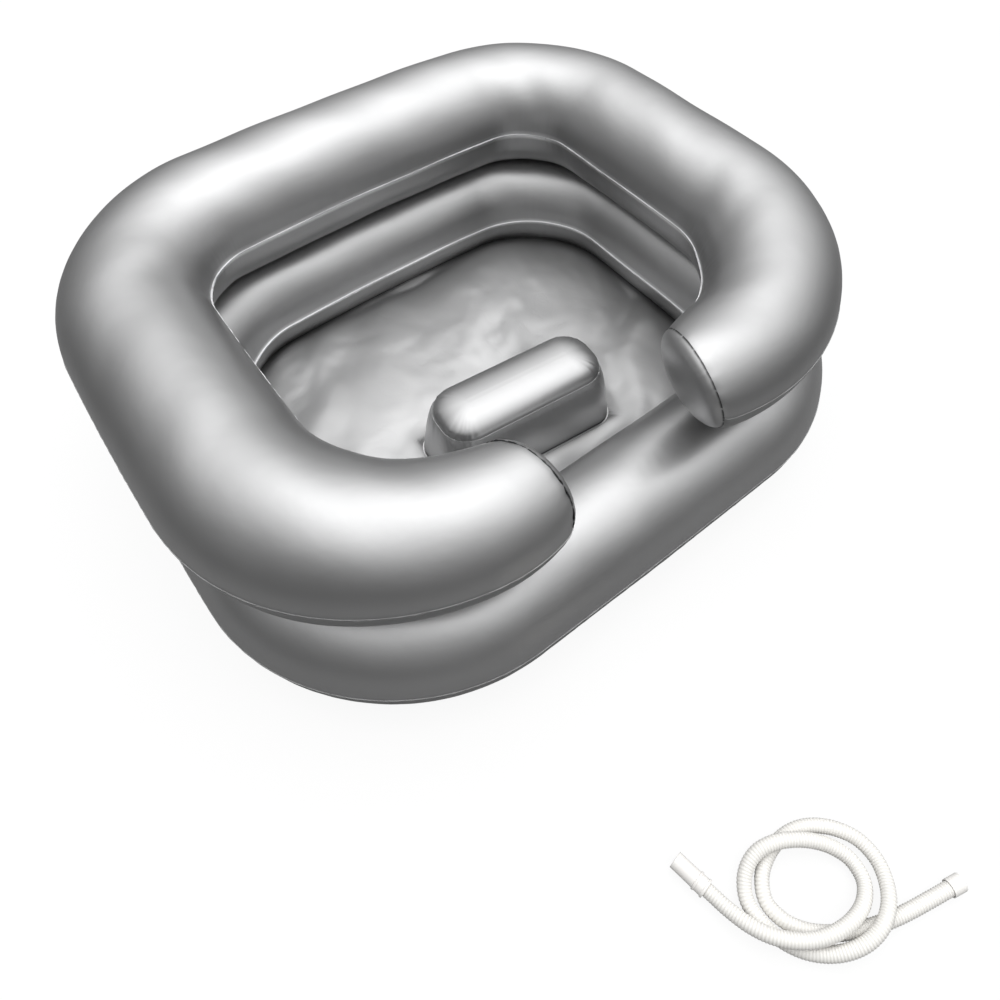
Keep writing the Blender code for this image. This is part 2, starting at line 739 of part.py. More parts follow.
def hose():
    line = smooth_route(hose_route, hose_span_steps)
    steps = np.linalg.norm(np.diff(line, axis=0), axis=1)
    travelled = np.concatenate([[0.0], np.cumsum(steps)])
    _, across, upward = carried_frames(line)
    cuff_length = cuff_mouth_length + cuff_ring_width + cuff_neck_length + cuff_ring_width + fit_gap
    start = cuff_length - cuff_socket_length + fit_gap
    finish = travelled[-1] - end_cuff_mouth_length - fit_gap
    print("hose length", round(float(travelled[-1]), 4), "least gap to itself",
          round(least_gap(line, travelled), 5))

    pitch = (finish - start) / hose_ribs
    stations = [start]
    radii = [hose_root_radius]
    for i in range(hose_ribs):
        stations += [start + pitch * (i + rib_crest_share), start + pitch * (i + rib_root_share)]
        radii += [hose_radius, hose_root_radius]
    stations.append(finish)
    radii.append(hose_root_radius)
    outer = tube_rows(line, travelled, across, upward, np.array(stations), np.array(radii))
    bore_stations = np.linspace(start, finish, hose_bore_rows + 1)
    bore_radii = np.full(len(bore_stations), hose_bore_radius)
    bore = tube_rows(line, travelled, across, upward, bore_stations, bore_radii)
    rows = np.concatenate([outer, bore[::-1]])
    count = len(rows)
    faces = []
    for i in range(count):
        below = (i + 1) % count
        for j in range(hose_sides):
            after = (j + 1) % hose_sides
            faces.append([i * hose_sides + j, i * hose_sides + after,
                          below * hose_sides + after, below * hose_sides + j])
    add_object("hose_tube", rows.reshape(-1, 3), faces, hose_look)

    socket = hose_radius + fit_gap
    shoulder = cuff_length - cuff_socket_length
    first_ring = cuff_mouth_length
    neck = socket + cuff_socket_wall
    cuff = [
        (cuff_mouth_bore_radius, 0.0), (cuff_radius, 0.0), (cuff_radius, first_ring),
        (cuff_ring_radius, first_ring), (cuff_ring_radius, first_ring + cuff_ring_width),
        (neck, first_ring + cuff_ring_width), (neck, cuff_length - cuff_ring_width),
        (cuff_ring_radius, cuff_length - cuff_ring_width), (cuff_ring_radius, cuff_length),
        (socket, cuff_length), (socket, shoulder), (cuff_mouth_bore_radius, shoulder),
    ]
    turned("hose_cuff", cuff, cuff_sides, cuff_look, axis_place(line[0], line[1] - line[0]))

    end_cuff = [
        (end_cuff_mouth_bore_radius, 0.0), (end_cuff_radius, 0.0), (end_cuff_radius, end_cuff_length),
        (socket, end_cuff_length), (socket, end_cuff_mouth_length),
        (end_cuff_mouth_bore_radius, end_cuff_mouth_length),
    ]
    turned("hose_end_cuff", end_cuff, cuff_sides, cuff_look, axis_place(line[-1], line[-2] - line[-1]))


def build():
    clear_scene()
    upper_rows = upper_sections()
    lower_rows = lower_sections()
    upper_flat = contact_height + fit_gap
    upper_top = ring_film("upper_ring_top_film", upper_rows, 1.0, None, upper_top_steps, False)
    ring_film("upper_ring_bottom_film", upper_rows, -1.0, upper_flat, flat_side_steps, False)
    end_panel("upper_ring_right_end", upper_rows[0], drain_sides)
    end_panel("upper_ring_left_end", upper_rows[-1], drain_sides)
    lower_top = ring_film("lower_ring_top_film", lower_rows, 1.0, contact_height, flat_side_steps, True)
    ring_film("lower_ring_bottom_film", lower_rows, -1.0, 0.0, base_side_steps, True)
    floor = floor_film()
    band, band_facet = headrest()
    upper_facet = ring_facet(upper_rows, upper_top_steps, valve_facet, None)
    lower_facet = ring_facet(lower_rows, flat_side_steps, valve_facet, contact_height)
    valve("upper_valve", facet_place(upper_facet, upper_valve_offset), upper_top)
    valve("lower_valve", facet_place(lower_facet, lower_valve_offset), lower_top)
    valve("headrest_valve", facet_place(band_facet, headrest_valve_offset), band)
    drain(floor)
    hose()


build()
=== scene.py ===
import math

import bmesh
import bpy
import numpy as np
from mathutils import Matrix, Vector


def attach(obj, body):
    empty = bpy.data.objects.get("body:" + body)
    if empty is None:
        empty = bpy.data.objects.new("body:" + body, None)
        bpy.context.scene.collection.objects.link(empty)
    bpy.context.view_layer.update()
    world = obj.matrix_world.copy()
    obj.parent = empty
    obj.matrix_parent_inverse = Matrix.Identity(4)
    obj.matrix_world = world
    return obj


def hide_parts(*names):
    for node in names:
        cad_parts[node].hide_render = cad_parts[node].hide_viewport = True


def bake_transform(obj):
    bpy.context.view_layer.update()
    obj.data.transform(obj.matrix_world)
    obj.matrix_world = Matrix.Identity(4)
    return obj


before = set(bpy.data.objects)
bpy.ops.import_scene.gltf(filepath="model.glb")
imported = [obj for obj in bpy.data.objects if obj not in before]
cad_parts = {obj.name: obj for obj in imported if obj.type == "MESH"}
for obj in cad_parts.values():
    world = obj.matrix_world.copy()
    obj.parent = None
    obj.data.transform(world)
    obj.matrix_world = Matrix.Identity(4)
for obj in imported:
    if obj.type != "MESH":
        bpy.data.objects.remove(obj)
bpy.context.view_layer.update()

# Metres. The same frame as the solids: X along the basin, the neck gap towards -Y, the ground at Z = 0.
print("frame loaded")


# Small tools for shapes


def eased(value):  # leaves 0 and reaches 1 without a corner
    value = np.clip(value, 0.0, 1.0)
    return value * value * (3.0 - 2.0 * value)


def softLower(value, limit, width):  # the lower of the two, the change-over rounded over a width
    return -width * np.logaddexp(-value / width, -limit / width)


def unit(vectors):
    return vectors / np.linalg.norm(vectors, axis=-1, keepdims=True)


def roundAngles(count):
    return np.arange(count) * math.tau / count


def distances(line):  # how far along an open line each of its points lies
    return np.concatenate([[0.0], np.cumsum(np.linalg.norm(np.diff(line, axis=0), axis=1))])


def atDistance(travelled, values, stations):
    return np.stack([np.interp(stations, travelled, column) for column in values.T], axis=1)


def arc(x, y, radius, start, steps):  # a quarter circle in plan
    angles = start + np.linspace(0.0, math.pi / 2.0, steps)
    return np.stack([x + radius * np.cos(angles), y + radius * np.sin(angles)], axis=1)


def inFrame(points, place):  # points of a place's own frame, in the world's
    return points @ np.array(place.to_3x3()).T + np.array(place.translation)


def gridQuads(rows, columns, loopRows=False, loopColumns=False, first=0):
    # Four corner numbers for each cell of a grid of points, as one array
    i = np.arange(rows if loopRows else rows - 1)[:, None]
    j = np.arange(columns if loopColumns else columns - 1)[None, :]
    after = (i + 1) % rows
    beside = (j + 1) % columns
    corners = [i * columns + j, i * columns + beside, after * columns + beside, after * columns + j]
    return first + np.stack([np.broadcast_to(c, (i.size, j.size)) for c in corners], axis=-1).reshape(-1, 4)


def cappedQuads(rows, columns):  # a grid closed round its columns, with a flat face on both end rows
    last = (rows - 1) * columns
    caps = [list(range(columns))[::-1], [last + j for j in range(columns)]]
    return gridQuads(rows, columns, False, True).tolist() + caps


def shellFaces(rows, columns, loopRows, loopColumns, capRow=False):
    # Two grids back to back, joined along every open edge, so that the film has its thickness
    count = rows * columns
    faces = [gridQuads(rows, columns, loopRows, loopColumns)]
    faces.append(gridQuads(rows, columns, loopRows, loopColumns, count)[:, ::-1])

    def join(here, beyond, turn):
        faces.append(np.stack([here, beyond, count + beyond, count + here], axis=1)[:, ::turn])

    if not loopColumns:
        i = np.arange(rows if loopRows else rows - 1)
        for j, turn in ((0, 1), (columns - 1, -1)):
            join(i * columns + j, (i + 1) % rows * columns + j, turn)
    if not loopRows:
        j = np.arange(columns if loopColumns else columns - 1)
        for i, turn in ((0, -1),) if capRow else ((0, -1), (rows - 1, 1)):
            join(i * columns + j, i * columns + (j + 1) % columns, turn)
    faces = np.concatenate(faces).tolist()
    if capRow:
        last = (rows - 1) * columns
        faces.append([last + j for j in range(columns)][::-1])
        faces.append([count + last + j for j in range(columns)])
    return faces


def fromAxis(points, place):
    # The Z axis of a place, and each point's height along it, way out from it and distance from it
    axis = np.array(place.to_3x3())[:, 2]
    away = points - np.array(place.translation)
    along = away @ axis
    flat = away - along[:, None] * axis
    return axis, along, flat, np.linalg.norm(flat, axis=1)


def openHole(points, faces, place, radius, reach, depth=0.012, share=0.97):
    # Points round an axis move outward until none is nearer than the radius, eased out at the reach; the
    # faces left across the hole, whose middles lie within a share of the radius, go, and both sides of the
    # film are joined round its edge
    half = len(points) // 2
    _, along, flat, distance = fromAxis(points, place)
    near = (distance < reach) & (np.abs(along) < depth)
    wanted = radius + (reach - radius) * distance / reach
    points = points + np.where(near, wanted / np.maximum(distance, 1e-9) - 1.0, 0.0)[:, None] * flat
    _, along, _, distance = fromAxis(np.array([points[face].mean(axis=0) for face in faces]), place)
    inside = (np.abs(along) < depth) & (distance < radius * share)
    kept = [face for face, gone in zip(faces, inside) if not gone]
    gone = [face for face, gone in zip(faces, inside) if gone and max(face) < half]
    edges = {(face[k - 1], face[k]) for face in gone for k in range(len(face))}
    kept += [[a, b, b + half, a + half] for a, b in edges if (b, a) not in edges]
    return points, kept


def addObject(name, data):
    obj = bpy.data.objects.new(name, data)
    bpy.context.scene.collection.objects.link(obj)
    return obj


def putMesh(name, node, points, faces, finish, body="basin", sharp=50.0, values=None):
    # Points and faces become a piece that faces outwards, rides on a body and stands for a solid; edges
    # over the sharp angle stay sharp, and values are numbers kept at each point
    mesh = bpy.data.meshes.new(name)
    mesh.from_pydata(np.asarray(points, float).reshape(-1, 3).tolist(), [], faces)
    mesh.update()
    measured = bmesh.new()
    measured.from_mesh(mesh)
    if measured.calc_volume(signed=True) < 0.0:
        mesh.flip_normals()
    measured.free()
    for key, numbers in (values or {}).items():
        made = mesh.attributes.new(key, "FLOAT", "POINT")
        made.data.foreach_set("value", np.asarray(numbers, np.float32).ravel())
    mesh.shade_smooth()
    mesh.set_sharp_from_angle(angle=math.radians(sharp))
    obj = addObject(name, mesh)
    mesh.materials.append(finishes[finish])
    if body:
        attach(obj, body)
        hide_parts(node)
    return obj


def waves(position, counts, seed):
    # Several sines with whole numbers of waves round the loop and random phases
    rng = np.random.default_rng(seed)
    total = np.zeros_like(position)
    for count in counts:
        total = total + np.sin(math.tau * (count * position + rng.random())) * rng.uniform(0.5, 1.0)
    return total / math.sqrt(len(counts))


def softNoise(x, y, seed, size=64):
    # Random heights at whole-number places, the same each run, blended with eased shares of the way
    table = np.random.default_rng(seed).uniform(-1.0, 1.0, (size, size))
    ix, iy = np.floor(x).astype(int), np.floor(y).astype(int)
    fx, fy = eased(x - ix), eased(y - iy)
    near = table[ix % size, iy % size] * (1 - fx) + table[(ix + 1) % size, iy % size] * fx
    far = table[ix % size, (iy + 1) % size] * (1 - fx) + table[(ix + 1) % size, (iy + 1) % size] * fx
    return near * (1 - fy) + far * fy


# Small tools for materials


class Link:  # a number in a material; the usual signs add its Math nodes
    def __init__(self, finish, socket):
        self.finish = finish
        self.socket = socket

    def math(self, operation, first, second):
        return self.finish.node("ShaderNodeMath", {"operation": operation}, first, second)

    def __add__(self, other):
        return self.math("ADD", self, other)

    def __radd__(self, other):
        return self.math("ADD", other, self)

    def __sub__(self, other):
        return self.math("SUBTRACT", self, other)

    def __rsub__(self, other):
        return self.math("SUBTRACT", other, self)

    def __mul__(self, other):
        return self.math("MULTIPLY", self, other)

    def __rmul__(self, other):
        return self.math("MULTIPLY", other, self)

    def __pow__(self, other):
        return self.math("POWER", self, other)

    def __rpow__(self, other):
        return self.math("POWER", other, self)

    def clamped(self):
        return self.finish.node("ShaderNodeClamp", {}, self)


class Nodes:  # any node tree, with one method that adds a node, sets it up and links it
    def __init__(self, tree):
        self.tree = tree

    def join(self, link, socket):
        self.tree.links.new(link.socket, socket)

    def node(self, kind, settings, *values, out=0, **named):
        made = self.tree.nodes.new(kind)
        for key, value in settings.items():
            setattr(made, key, value)
        for slot, value in [*enumerate(values), *named.items()]:
            if isinstance(value, Link):
                self.join(value, made.inputs[slot])
            elif value is not None:
                made.inputs[slot].default_value = value
        return Link(self, made.outputs[out])


class Finish(Nodes):  # a material with one Principled shader and what feeds it
    def __init__(self, name, **constants):
        self.material = bpy.data.materials.new(name)
        self.material.use_nodes = True
        super().__init__(self.material.node_tree)
        self.shader = self.tree.nodes["Principled BSDF"]
        for key, value in constants.items():
            self.shader.inputs[key.replace("_", " ")].default_value = value
        self.place = self.node("ShaderNodeTexCoord", {}, out="Object")

    def feed(self, slot, link):
        self.join(link, self.shader.inputs[slot])

    def noise(self, scale, detail=2.0, roughness=0.5, distortion=0.0):
        return self.node("ShaderNodeTexNoise", {}, Vector=self.place, Scale=scale, Detail=detail,
                         Roughness=roughness, Distortion=distortion)

    def value(self, key):  # a number kept at the mesh's points
        return self.node("ShaderNodeAttribute", {"attribute_name": key}, out="Fac").clamped()

    def colours(self, share, first, second):  # a share of the way from one colour to another
        numberSockets = [None] * 5
        return self.node("ShaderNodeMix", {"data_type": "RGBA"}, share, *numberSockets,
                         spread(first), spread(second), out=2)

    def band(self, value, low, high):  # 0 below low, 1 above high
        return self.node("ShaderNodeMapRange", {"interpolation_type": "SMOOTHSTEP"}, value, low, high)

    def bump(self, height, distance, normal=None):
        return self.node("ShaderNodeBump", {}, Strength=1.0, Distance=distance, Height=height, Normal=normal)

    def surface(self, base, rough, grain, under=None):
        # Colour, roughness, and a fine grain of a scale, detail and depth over any broader bump
        scale, detail, depth = grain
        self.feed("Base Color", base)
        self.feed("Roughness", rough.clamped())
        self.feed("Normal", self.bump(self.noise(scale, detail), depth, under))
        return self.material


def spread(colour):  # a grey or a colour as a colour socket takes it
    if isinstance(colour, Link):
        return colour
    if isinstance(colour, float):
        colour = (colour, colour, colour)
    return (*colour, 1.0)


# Camera, at the photograph's angle

cameraLook = {
    "place": (-0.28573706, -0.43431381, 0.64411374), "azimuth": -37.7215, "elevation": 49.5671,
    "lens": {"lens": 30.092, "sensor_width": 36.0, "shift_x": -0.0118475, "shift_y": -0.1364733,
             "clip_start": 0.01},
}


def makeCamera():
    turn = math.radians(cameraLook["azimuth"])
    lift = math.radians(cameraLook["elevation"])
    back = Vector((math.sin(turn) * math.cos(lift), -math.cos(turn) * math.cos(lift), math.sin(lift)))
    right = Vector((math.cos(turn), math.sin(turn), 0.0))
    data = bpy.data.cameras.new("camera")
    for key, value in cameraLook["lens"].items():
        setattr(data, key, value)
    camera = addObject("camera", data)
    camera.matrix_world = Matrix.Translation(Vector(cameraLook["place"])) @ Matrix(
        (right, back.cross(right), back)).transposed().to_4x4()
    bpy.context.scene.camera = camera


makeCamera()
print("camera placed")


# Finishes. A grain is its scale, detail and depth

# The seam colour is a painted highlight along the welds
filmLook = {
    "colour": (0.445, 0.446, 0.449), "seamHighlightColour": (0.76, 0.762, 0.768), "shadeColour": (0.41, 0.411, 0.414),
    "edgeColour": (0.36, 0.361, 0.363), "metallic": 0.92, "roughness": 0.40, "seamRoughness": 0.3,
    "edgeRoughness": 0.5, "specular": 0.6, "cloudScale": 7.0, "cloudShare": 0.10, "fineScale": 240.0,
    "fineShare": 0.05, "grain": (1500.0, 1.0, 0.00002), "rippleScale": 34.0, "rippleDepth": 0.0004,
}
# The bottom films are a darker copy of the film, a painted shade on the rings' undersides
underShadeLook = {**filmLook, "colour": (0.34, 0.341, 0.343), "shadeColour": (0.31, 0.311, 0.313)}
panelLook = {**filmLook, "edgeColour": (0.10, 0.1, 0.101)}
headrestLook = {**filmLook, "rippleDepth": 0.00024}
# The headrest's side band is painted lighter than the rest of the film, a painted light, and its edge colour
# is a painted shade along its foot
sideLightAndFootShadeLook = {**headrestLook, "colour": (0.60, 0.601, 0.604), "shadeColour": (0.54, 0.541, 0.544),
            "edgeColour": (0.05, 0.05, 0.051)}
# The rim colour is a painted shade on the floor by the ring and round the headrest's foot
floorLook = {
    "colour": (0.50, 0.501, 0.504), "foldColour": (0.46, 0.461, 0.464), "rimShadeColour": (0.10, 0.10, 0.101),
    "metallic": 0.55, "roughness": 0.44, "specular": 0.55, "cloudScale": 11.0, "cloudShare": 0.12,
    "cloudBend": 0.6, "creaseScale": 40.0, "creaseBend": 1.5, "creaseDepth": 0.0003,
    "grain": (1500.0, 1.0, 0.00002),
}
softPartLook = {
    "colour": (0.23, 0.232, 0.236), "cloudColour": (0.29, 0.292, 0.296), "roughness": 0.42,
    "cloudScale": 160.0, "cloudDetail": 2.0, "cloudShare": 0.15, "grain": (1800.0, 2.0, 0.00003),
}
clearPartLook = {**softPartLook, "colour": (0.50, 0.504, 0.51), "cloudColour": (0.46, 0.464, 0.47),
                 "roughness": 0.3}
# The groove colour is a painted shade between the ribs
hoseLook = {
    "colour": (0.87, 0.86, 0.835), "grooveShadeColour": (0.70, 0.685, 0.65), "tint": (0.82, 0.805, 0.77),
    "tintShare": 0.35, "roughness": 0.42, "cloudScale": 45.0, "cloudShare": 0.1,
    "grain": (2200.0, 2.0, 0.00002),
}
# The bore colour is a painted shade inside the cuffs' bores
cuffLook = {
    "colour": (0.85, 0.825, 0.80), "cloudColour": (0.87, 0.86, 0.835), "boreShadeColour": (0.34, 0.29, 0.25),
    "roughness": 0.38, "cloudScale": 80.0, "cloudDetail": 3.0, "cloudShare": 0.1,
    "grain": (1600.0, 2.0, 0.00002),
}


def clouded(look, cloud):  # a roughness that changes a little with the clouds
    return look["roughness"] + (cloud - 0.5) * look["cloudShare"]


def filmFinish(name, look):
    # Satin silver vinyl film: a fine grain, a faint cloudiness, welds with their own gloss and a painted
    # highlight along them, and marked edges darker (the outer weld lips, and a painted shade at the
    # headrest's foot)
    made = Finish(name, Metallic=look["metallic"], Specular_IOR_Level=look["specular"])
    cloud = made.noise(look["cloudScale"], 3.0)
    seam, edge = made.value("seam"), made.value("edge")
    base = made.colours(made.band(cloud, 0.3, 0.7), look["shadeColour"], look["colour"])
    base = made.colours(edge, made.colours(seam, base, look["seamHighlightColour"]), look["edgeColour"])
    rough = clouded(look, cloud) + (made.noise(look["fineScale"]) - 0.5) * look["fineShare"]
    rough = rough + seam * (look["seamRoughness"] - look["roughness"])
    rough = rough + edge * (look["edgeRoughness"] - look["roughness"])
    ripples = made.noise(look["rippleScale"], 3.0, 0.45)
    return made.surface(base, rough, look["grain"], made.bump(ripples, look["rippleDepth"]))


def floorFinish(name, look):
    # The same film, laid slack and duller: fine creases that wander, and a painted shade by the ring and
    # round the headrest's foot
    made = Finish(name, Metallic=look["metallic"], Specular_IOR_Level=look["specular"])
    cloud = made.noise(look["cloudScale"], 3.0, 0.5, look["cloudBend"])
    base = made.colours(made.band(cloud, 0.35, 0.65), look["foldColour"], look["colour"])
    crease = made.noise(look["creaseScale"], 4.0, 0.5, look["creaseBend"]) - 0.5
    ridge = 1.0 - (crease * crease * 4.0).clamped()  # 1 where the noise crosses its middle
    # the rim mark paints shade on the floor by the ring and the headrest's foot
    return made.surface(made.colours(made.value("rim"), base, look["rimShadeColour"]), clouded(look, cloud),
                        look["grain"], made.bump(ridge, look["creaseDepth"]))


def mouldedFinish(name, look):
    # Soft moulded plastic, a little cloudy; the cuffs' bores are painted dark brown, a painted shade
    made = Finish(name)
    cloud = made.noise(look["cloudScale"], look["cloudDetail"])
    base = made.colours(made.band(cloud, 0.3, 0.7), look["colour"], look["cloudColour"])
    if "boreShadeColour" in look:
        base = made.colours(made.value("bore"), base, look["boreShadeColour"])
    return made.surface(base, clouded(look, cloud), look["grain"])


def hoseFinish(name, look):
    # Ivory soft plastic: the grooves between the ribs painted a little darker and warmer, a painted shade
    made = Finish(name)
    cloud = made.noise(look["cloudScale"], 3.0)
    base = made.colours(made.value("crest"), look["grooveShadeColour"], look["colour"])
    base = made.colours(made.band(cloud, 0.35, 0.75) * look["tintShare"], base, look["tint"])
    return made.surface(base, clouded(look, cloud), look["grain"])


finishes = {
    "film": filmFinish("silverFilm", filmLook),
    "underFilmPaintedShade": filmFinish("silverFilmUnderPaintedShade", underShadeLook),
    "headrestFilm": filmFinish("silverFilmHeadrest", headrestLook),
    "sideFilmPaintedLightAndShade": filmFinish("silverFilmSidePaintedLightAndShade", sideLightAndFootShadeLook),
    "panelFilm": filmFinish("silverFilmPanel", panelLook),
    "floor": floorFinish("silverFilmFloor", floorLook),
    "soft": mouldedFinish("softVinyl", softPartLook),
    "clear": mouldedFinish("paleVinyl", clearPartLook),
    "hose": hoseFinish("ivoryRibbed", hoseLook),
    "cuff": mouldedFinish("ivoryCuff", cuffLook),
}
print("finishes made")


# Drain hose: a free hose in a loose loop of two turns

hoseShape = {
    "radius": 0.005, "root": 0.0046, "bore": 0.0034, "length": 0.66, "ribs": 312, "rowsPerRib": 4,
    "sides": 20, "boreRows": 312, "cuffMouth": 0.017, "ringWidth": 0.0016, "neck": 0.0045, "socket": 0.008,
    "socketWall": 0.0007, "cuffRadius": 0.0058, "mouthBore": 0.0049, "ringRadius": 0.0066,
    "endRadius": 0.0058, "endLength": 0.010, "endMouth": 0.003, "endBore": 0.0042, "gap": 0.0003,
    "boreMargin": 0.0002, "stepsPerPoint": 12, "pathPoints": 400,
}
hoseRoute = [  # tenths of a millimetre, from the stepped cuff's mouth to the plain cuff's
    (-1329, -4140, 70), (-1306, -4278, 70), (-1283, -4416, 71), (-1262, -4554, 93), (-1229, -4687, 128),
    (-1169, -4808, 153), (-1075, -4914, 159), (-960, -4995, 155), (-830, -5047, 159), (-691, -5069, 150),
    (-555, -5054, 120), (-442, -4987, 75), (-401, -4859, 57), (-450, -4731, 85), (-537, -4627, 122),
    (-645, -4541, 151), (-768, -4473, 157), (-903, -4443, 134), (-1031, -4481, 94), (-1120, -4583, 62),
    (-1141, -4720, 53), (-1113, -4858, 53), (-1048, -4983, 57), (-954, -5086, 76), (-839, -5161, 108),
    (-709, -5202, 140), (-570, -5200, 158), (-439, -5152, 145), (-334, -5068, 104), (-264, -4954, 63),
    (-262, -4815, 53), (-323, -4689, 53), (-419, -4586, 53), (-540, -4516, 53), (-678, -4488, 53),
    (-818, -4504, 53), (-945, -4563, 53), (-1028, -4673, 53), (-1016, -4811, 53), (-946, -4933, 53),
    (-844, -5030, 53), (-727, -5108, 53), (-601, -5173, 53), (-471, -5227, 53), (-337, -5271, 53),
    (-204, -5308, 56), (-69, -5344, 61), (66, -5380, 62),
]


def smoothRoute(points, steps):
    # A Catmull-Rom curve: between two points, a cubic whose slopes come from their neighbours
    points = np.asarray(points)
    longer = np.vstack([2.0 * points[0] - points[1], points, 2.0 * points[-1] - points[-2]])
    t = (np.arange(steps) / steps)[None, :, None]
    a, b, c, d = (longer[k:len(longer) - 3 + k, None] for k in range(4))
    curve = (2.0 * b + (c - a) * t + (2.0 * a - 5.0 * b + 4.0 * c - d) * t ** 2
             + (3.0 * b - a - 3.0 * c + d) * t ** 3) / 2.0
    return np.vstack([curve.reshape(-1, 3), points[-1:]])


def carriedFrames(line):
    # Across directions carried along the line: flattened on to each cross section in turn, so no twist
    along = unit(np.gradient(line, axis=0))
    side = np.cross(along[0], (0.0, 0.0, 1.0))
    sides = np.empty_like(along)
    for k, direction in enumerate(along):
        side = side - direction * side.dot(direction)
        side = side / np.linalg.norm(side)
        sides[k] = side
    return sides, np.cross(sides, along)


def makeHose():
    # Radius along the path: root plus a rounded crest, a raised cosine for each rib
    shape = hoseShape
    line = smoothRoute(np.array(hoseRoute) / 10000.0, shape["stepsPerPoint"])
    travelled = distances(line)
    cuffLength = shape["cuffMouth"] + 2.0 * shape["ringWidth"] + shape["neck"] + shape["gap"]
    start = cuffLength - shape["socket"] + shape["gap"]
    end = travelled[-1] - shape["endMouth"] - shape["gap"]
    rows = shape["ribs"] * shape["rowsPerRib"] + 1
    wave = 0.5 - 0.5 * np.cos(math.tau * np.arange(rows) / shape["rowsPerRib"])
    stations = np.concatenate([np.linspace(start, end, rows), np.linspace(end, start, shape["boreRows"])])
    radii = np.concatenate([shape["root"] + (shape["radius"] - shape["root"]) * wave,
                            np.full(shape["boreRows"], shape["bore"])])
    angles = roundAngles(shape["sides"])[None, :, None]
    across, upward = (atDistance(travelled, way, stations)[:, None] for way in carriedFrames(line))
    wheel = across * np.cos(angles) + upward * np.sin(angles)
    points = atDistance(travelled, line, stations)[:, None] + wheel * radii[:, None, None]
    # The crests are marked, so that the grooves between the ribs take a painted shade
    crest = np.repeat(np.concatenate([wave, np.zeros(shape["boreRows"])]), shape["sides"])
    faces = gridQuads(len(stations), shape["sides"], True, True).tolist()
    tube = putMesh("hoseTube", "hose_tube", points, faces, "hose", sharp=80.0, values={"crest": crest})

    cuffs = makeCuffs(line, cuffLength)


def axisPlace(point, direction):
    turn = Vector(direction).to_track_quat("Z", "Y").to_matrix().to_4x4()
    return Matrix.Translation(Vector(point)) @ turn


def rounded(outline, radius, steps=3):
    # Each corner of a closed outline of (radius, height) swapped for a short arc-like curve
    outline = np.asarray(outline, float)
    before = np.roll(outline, 1, axis=0)
    after = np.roll(outline, -1, axis=0)
    reach = np.minimum(radius, 0.4 * np.minimum(np.linalg.norm(outline - before, axis=1),
                                                np.linalg.norm(after - outline, axis=1)))[:, None]
    enter = outline + unit(before - outline) * reach
    leave = outline + unit(after - outline) * reach
    t = np.linspace(0.0, 1.0, steps + 1)[None, :, None]
    curve = enter[:, None] * (1 - t) ** 2 + outline[:, None] * 2 * t * (1 - t) + leave[:, None] * t ** 2
    return curve.reshape(-1, 2)


def lathe(name, node, outline, place, finish, body="basin", sides=48, soft=0.0003, bore=0.0):
    # A closed outline of (radius, height) carried round the Z axis of its place; inside the bore's radius
    # the points are marked for a painted shade
    outline = rounded(outline, soft)
    angles = roundAngles(sides)
    ring = np.stack([np.outer(np.cos(angles), outline[:, 0]), np.outer(np.sin(angles), outline[:, 0]),
                     np.broadcast_to(outline[:, 1], (sides, len(outline)))], axis=-1)
    values = {"bore": np.tile(outline[:, 0] < bore, (sides, 1))} if bore else None
    faces = gridQuads(sides, len(outline), True, True).tolist()
    return putMesh(name, node, inFrame(ring, place), faces, finish, body, 35.0, values)


def makeCuffs(line, length):
    # A stepped cuff with two raised rings at the inlet, a plain one at the outlet; both hold the hose in a
    # socket, and their bores are marked for a painted shade
    shape = hoseShape
    socket = shape["radius"] + shape["gap"]
    neck = socket + shape["socketWall"]
    mouth, body, rim = shape["mouthBore"], shape["cuffRadius"], shape["ringRadius"]
    low, width, deep = shape["cuffMouth"], shape["ringWidth"], length - shape["socket"]
    stepped = [(mouth, 0.0), (body, 0.0), (body, low), (rim, low), (rim, low + width), (neck, low + width),
               (neck, length - width), (rim, length - width), (rim, length), (socket, length),
               (socket, deep), (mouth, deep)]
    bore, body, tall, deep = shape["endBore"], shape["endRadius"], shape["endLength"], shape["endMouth"]
    plain = [(bore, 0.0), (body, 0.0), (body, tall), (socket, tall), (socket, deep), (bore, deep)]
    return [lathe("hoseCuff", "hose_cuff", stepped, axisPlace(line[0], line[1] - line[0]), "cuff",
                  bore=mouth + shape["boreMargin"]),
            lathe("hoseEndCuff", "hose_end_cuff", plain, axisPlace(line[-1], line[-2] - line[-1]), "cuff",
                  bore=bore + shape["boreMargin"])]


makeHose()
print("hose made")


# Rings of air-filled film

filmThickness = 0.0004
fitGap = 0.0003
upperRing = {
    "halfLength": 0.2399, "backY": 0.1931, "frontY": -0.2018, "backRadius": 0.0995, "frontRadius": 0.1378,
    "sideBow": 0.027, "backBow": 0.0128, "frontBow": -0.0043, "tube": 0.0586, "height": 0.152,
}
lowerRing = {
    "halfLength": 0.2437, "backY": 0.1771, "frontY": -0.2091, "backRadius": 0.1251, "frontRadius": 0.1193,
    "sideBow": 0.028, "backBow": 0.0128, "frontBow": 0.0026, "tube": 0.0524, "height": 0.0516,
}
armShape = {
    "rightX": 0.0663, "leftX": -0.098, "taper": 0.19, "endShare": 0.825, "endHeight": 0.93, "rise": 0.006,
    "forward": 0.005, "rightTurn": -14.5, "leftTurn": 12.0, "tilt": 13.0, "turnLength": 0.07,
    "draw": 0.125, "drawLength": 0.045, "roundLength": 0.034, "roundShare": 0.85, "drawRise": 0.003,
    "roundest": 0.995, "bulge": 0.015,
}
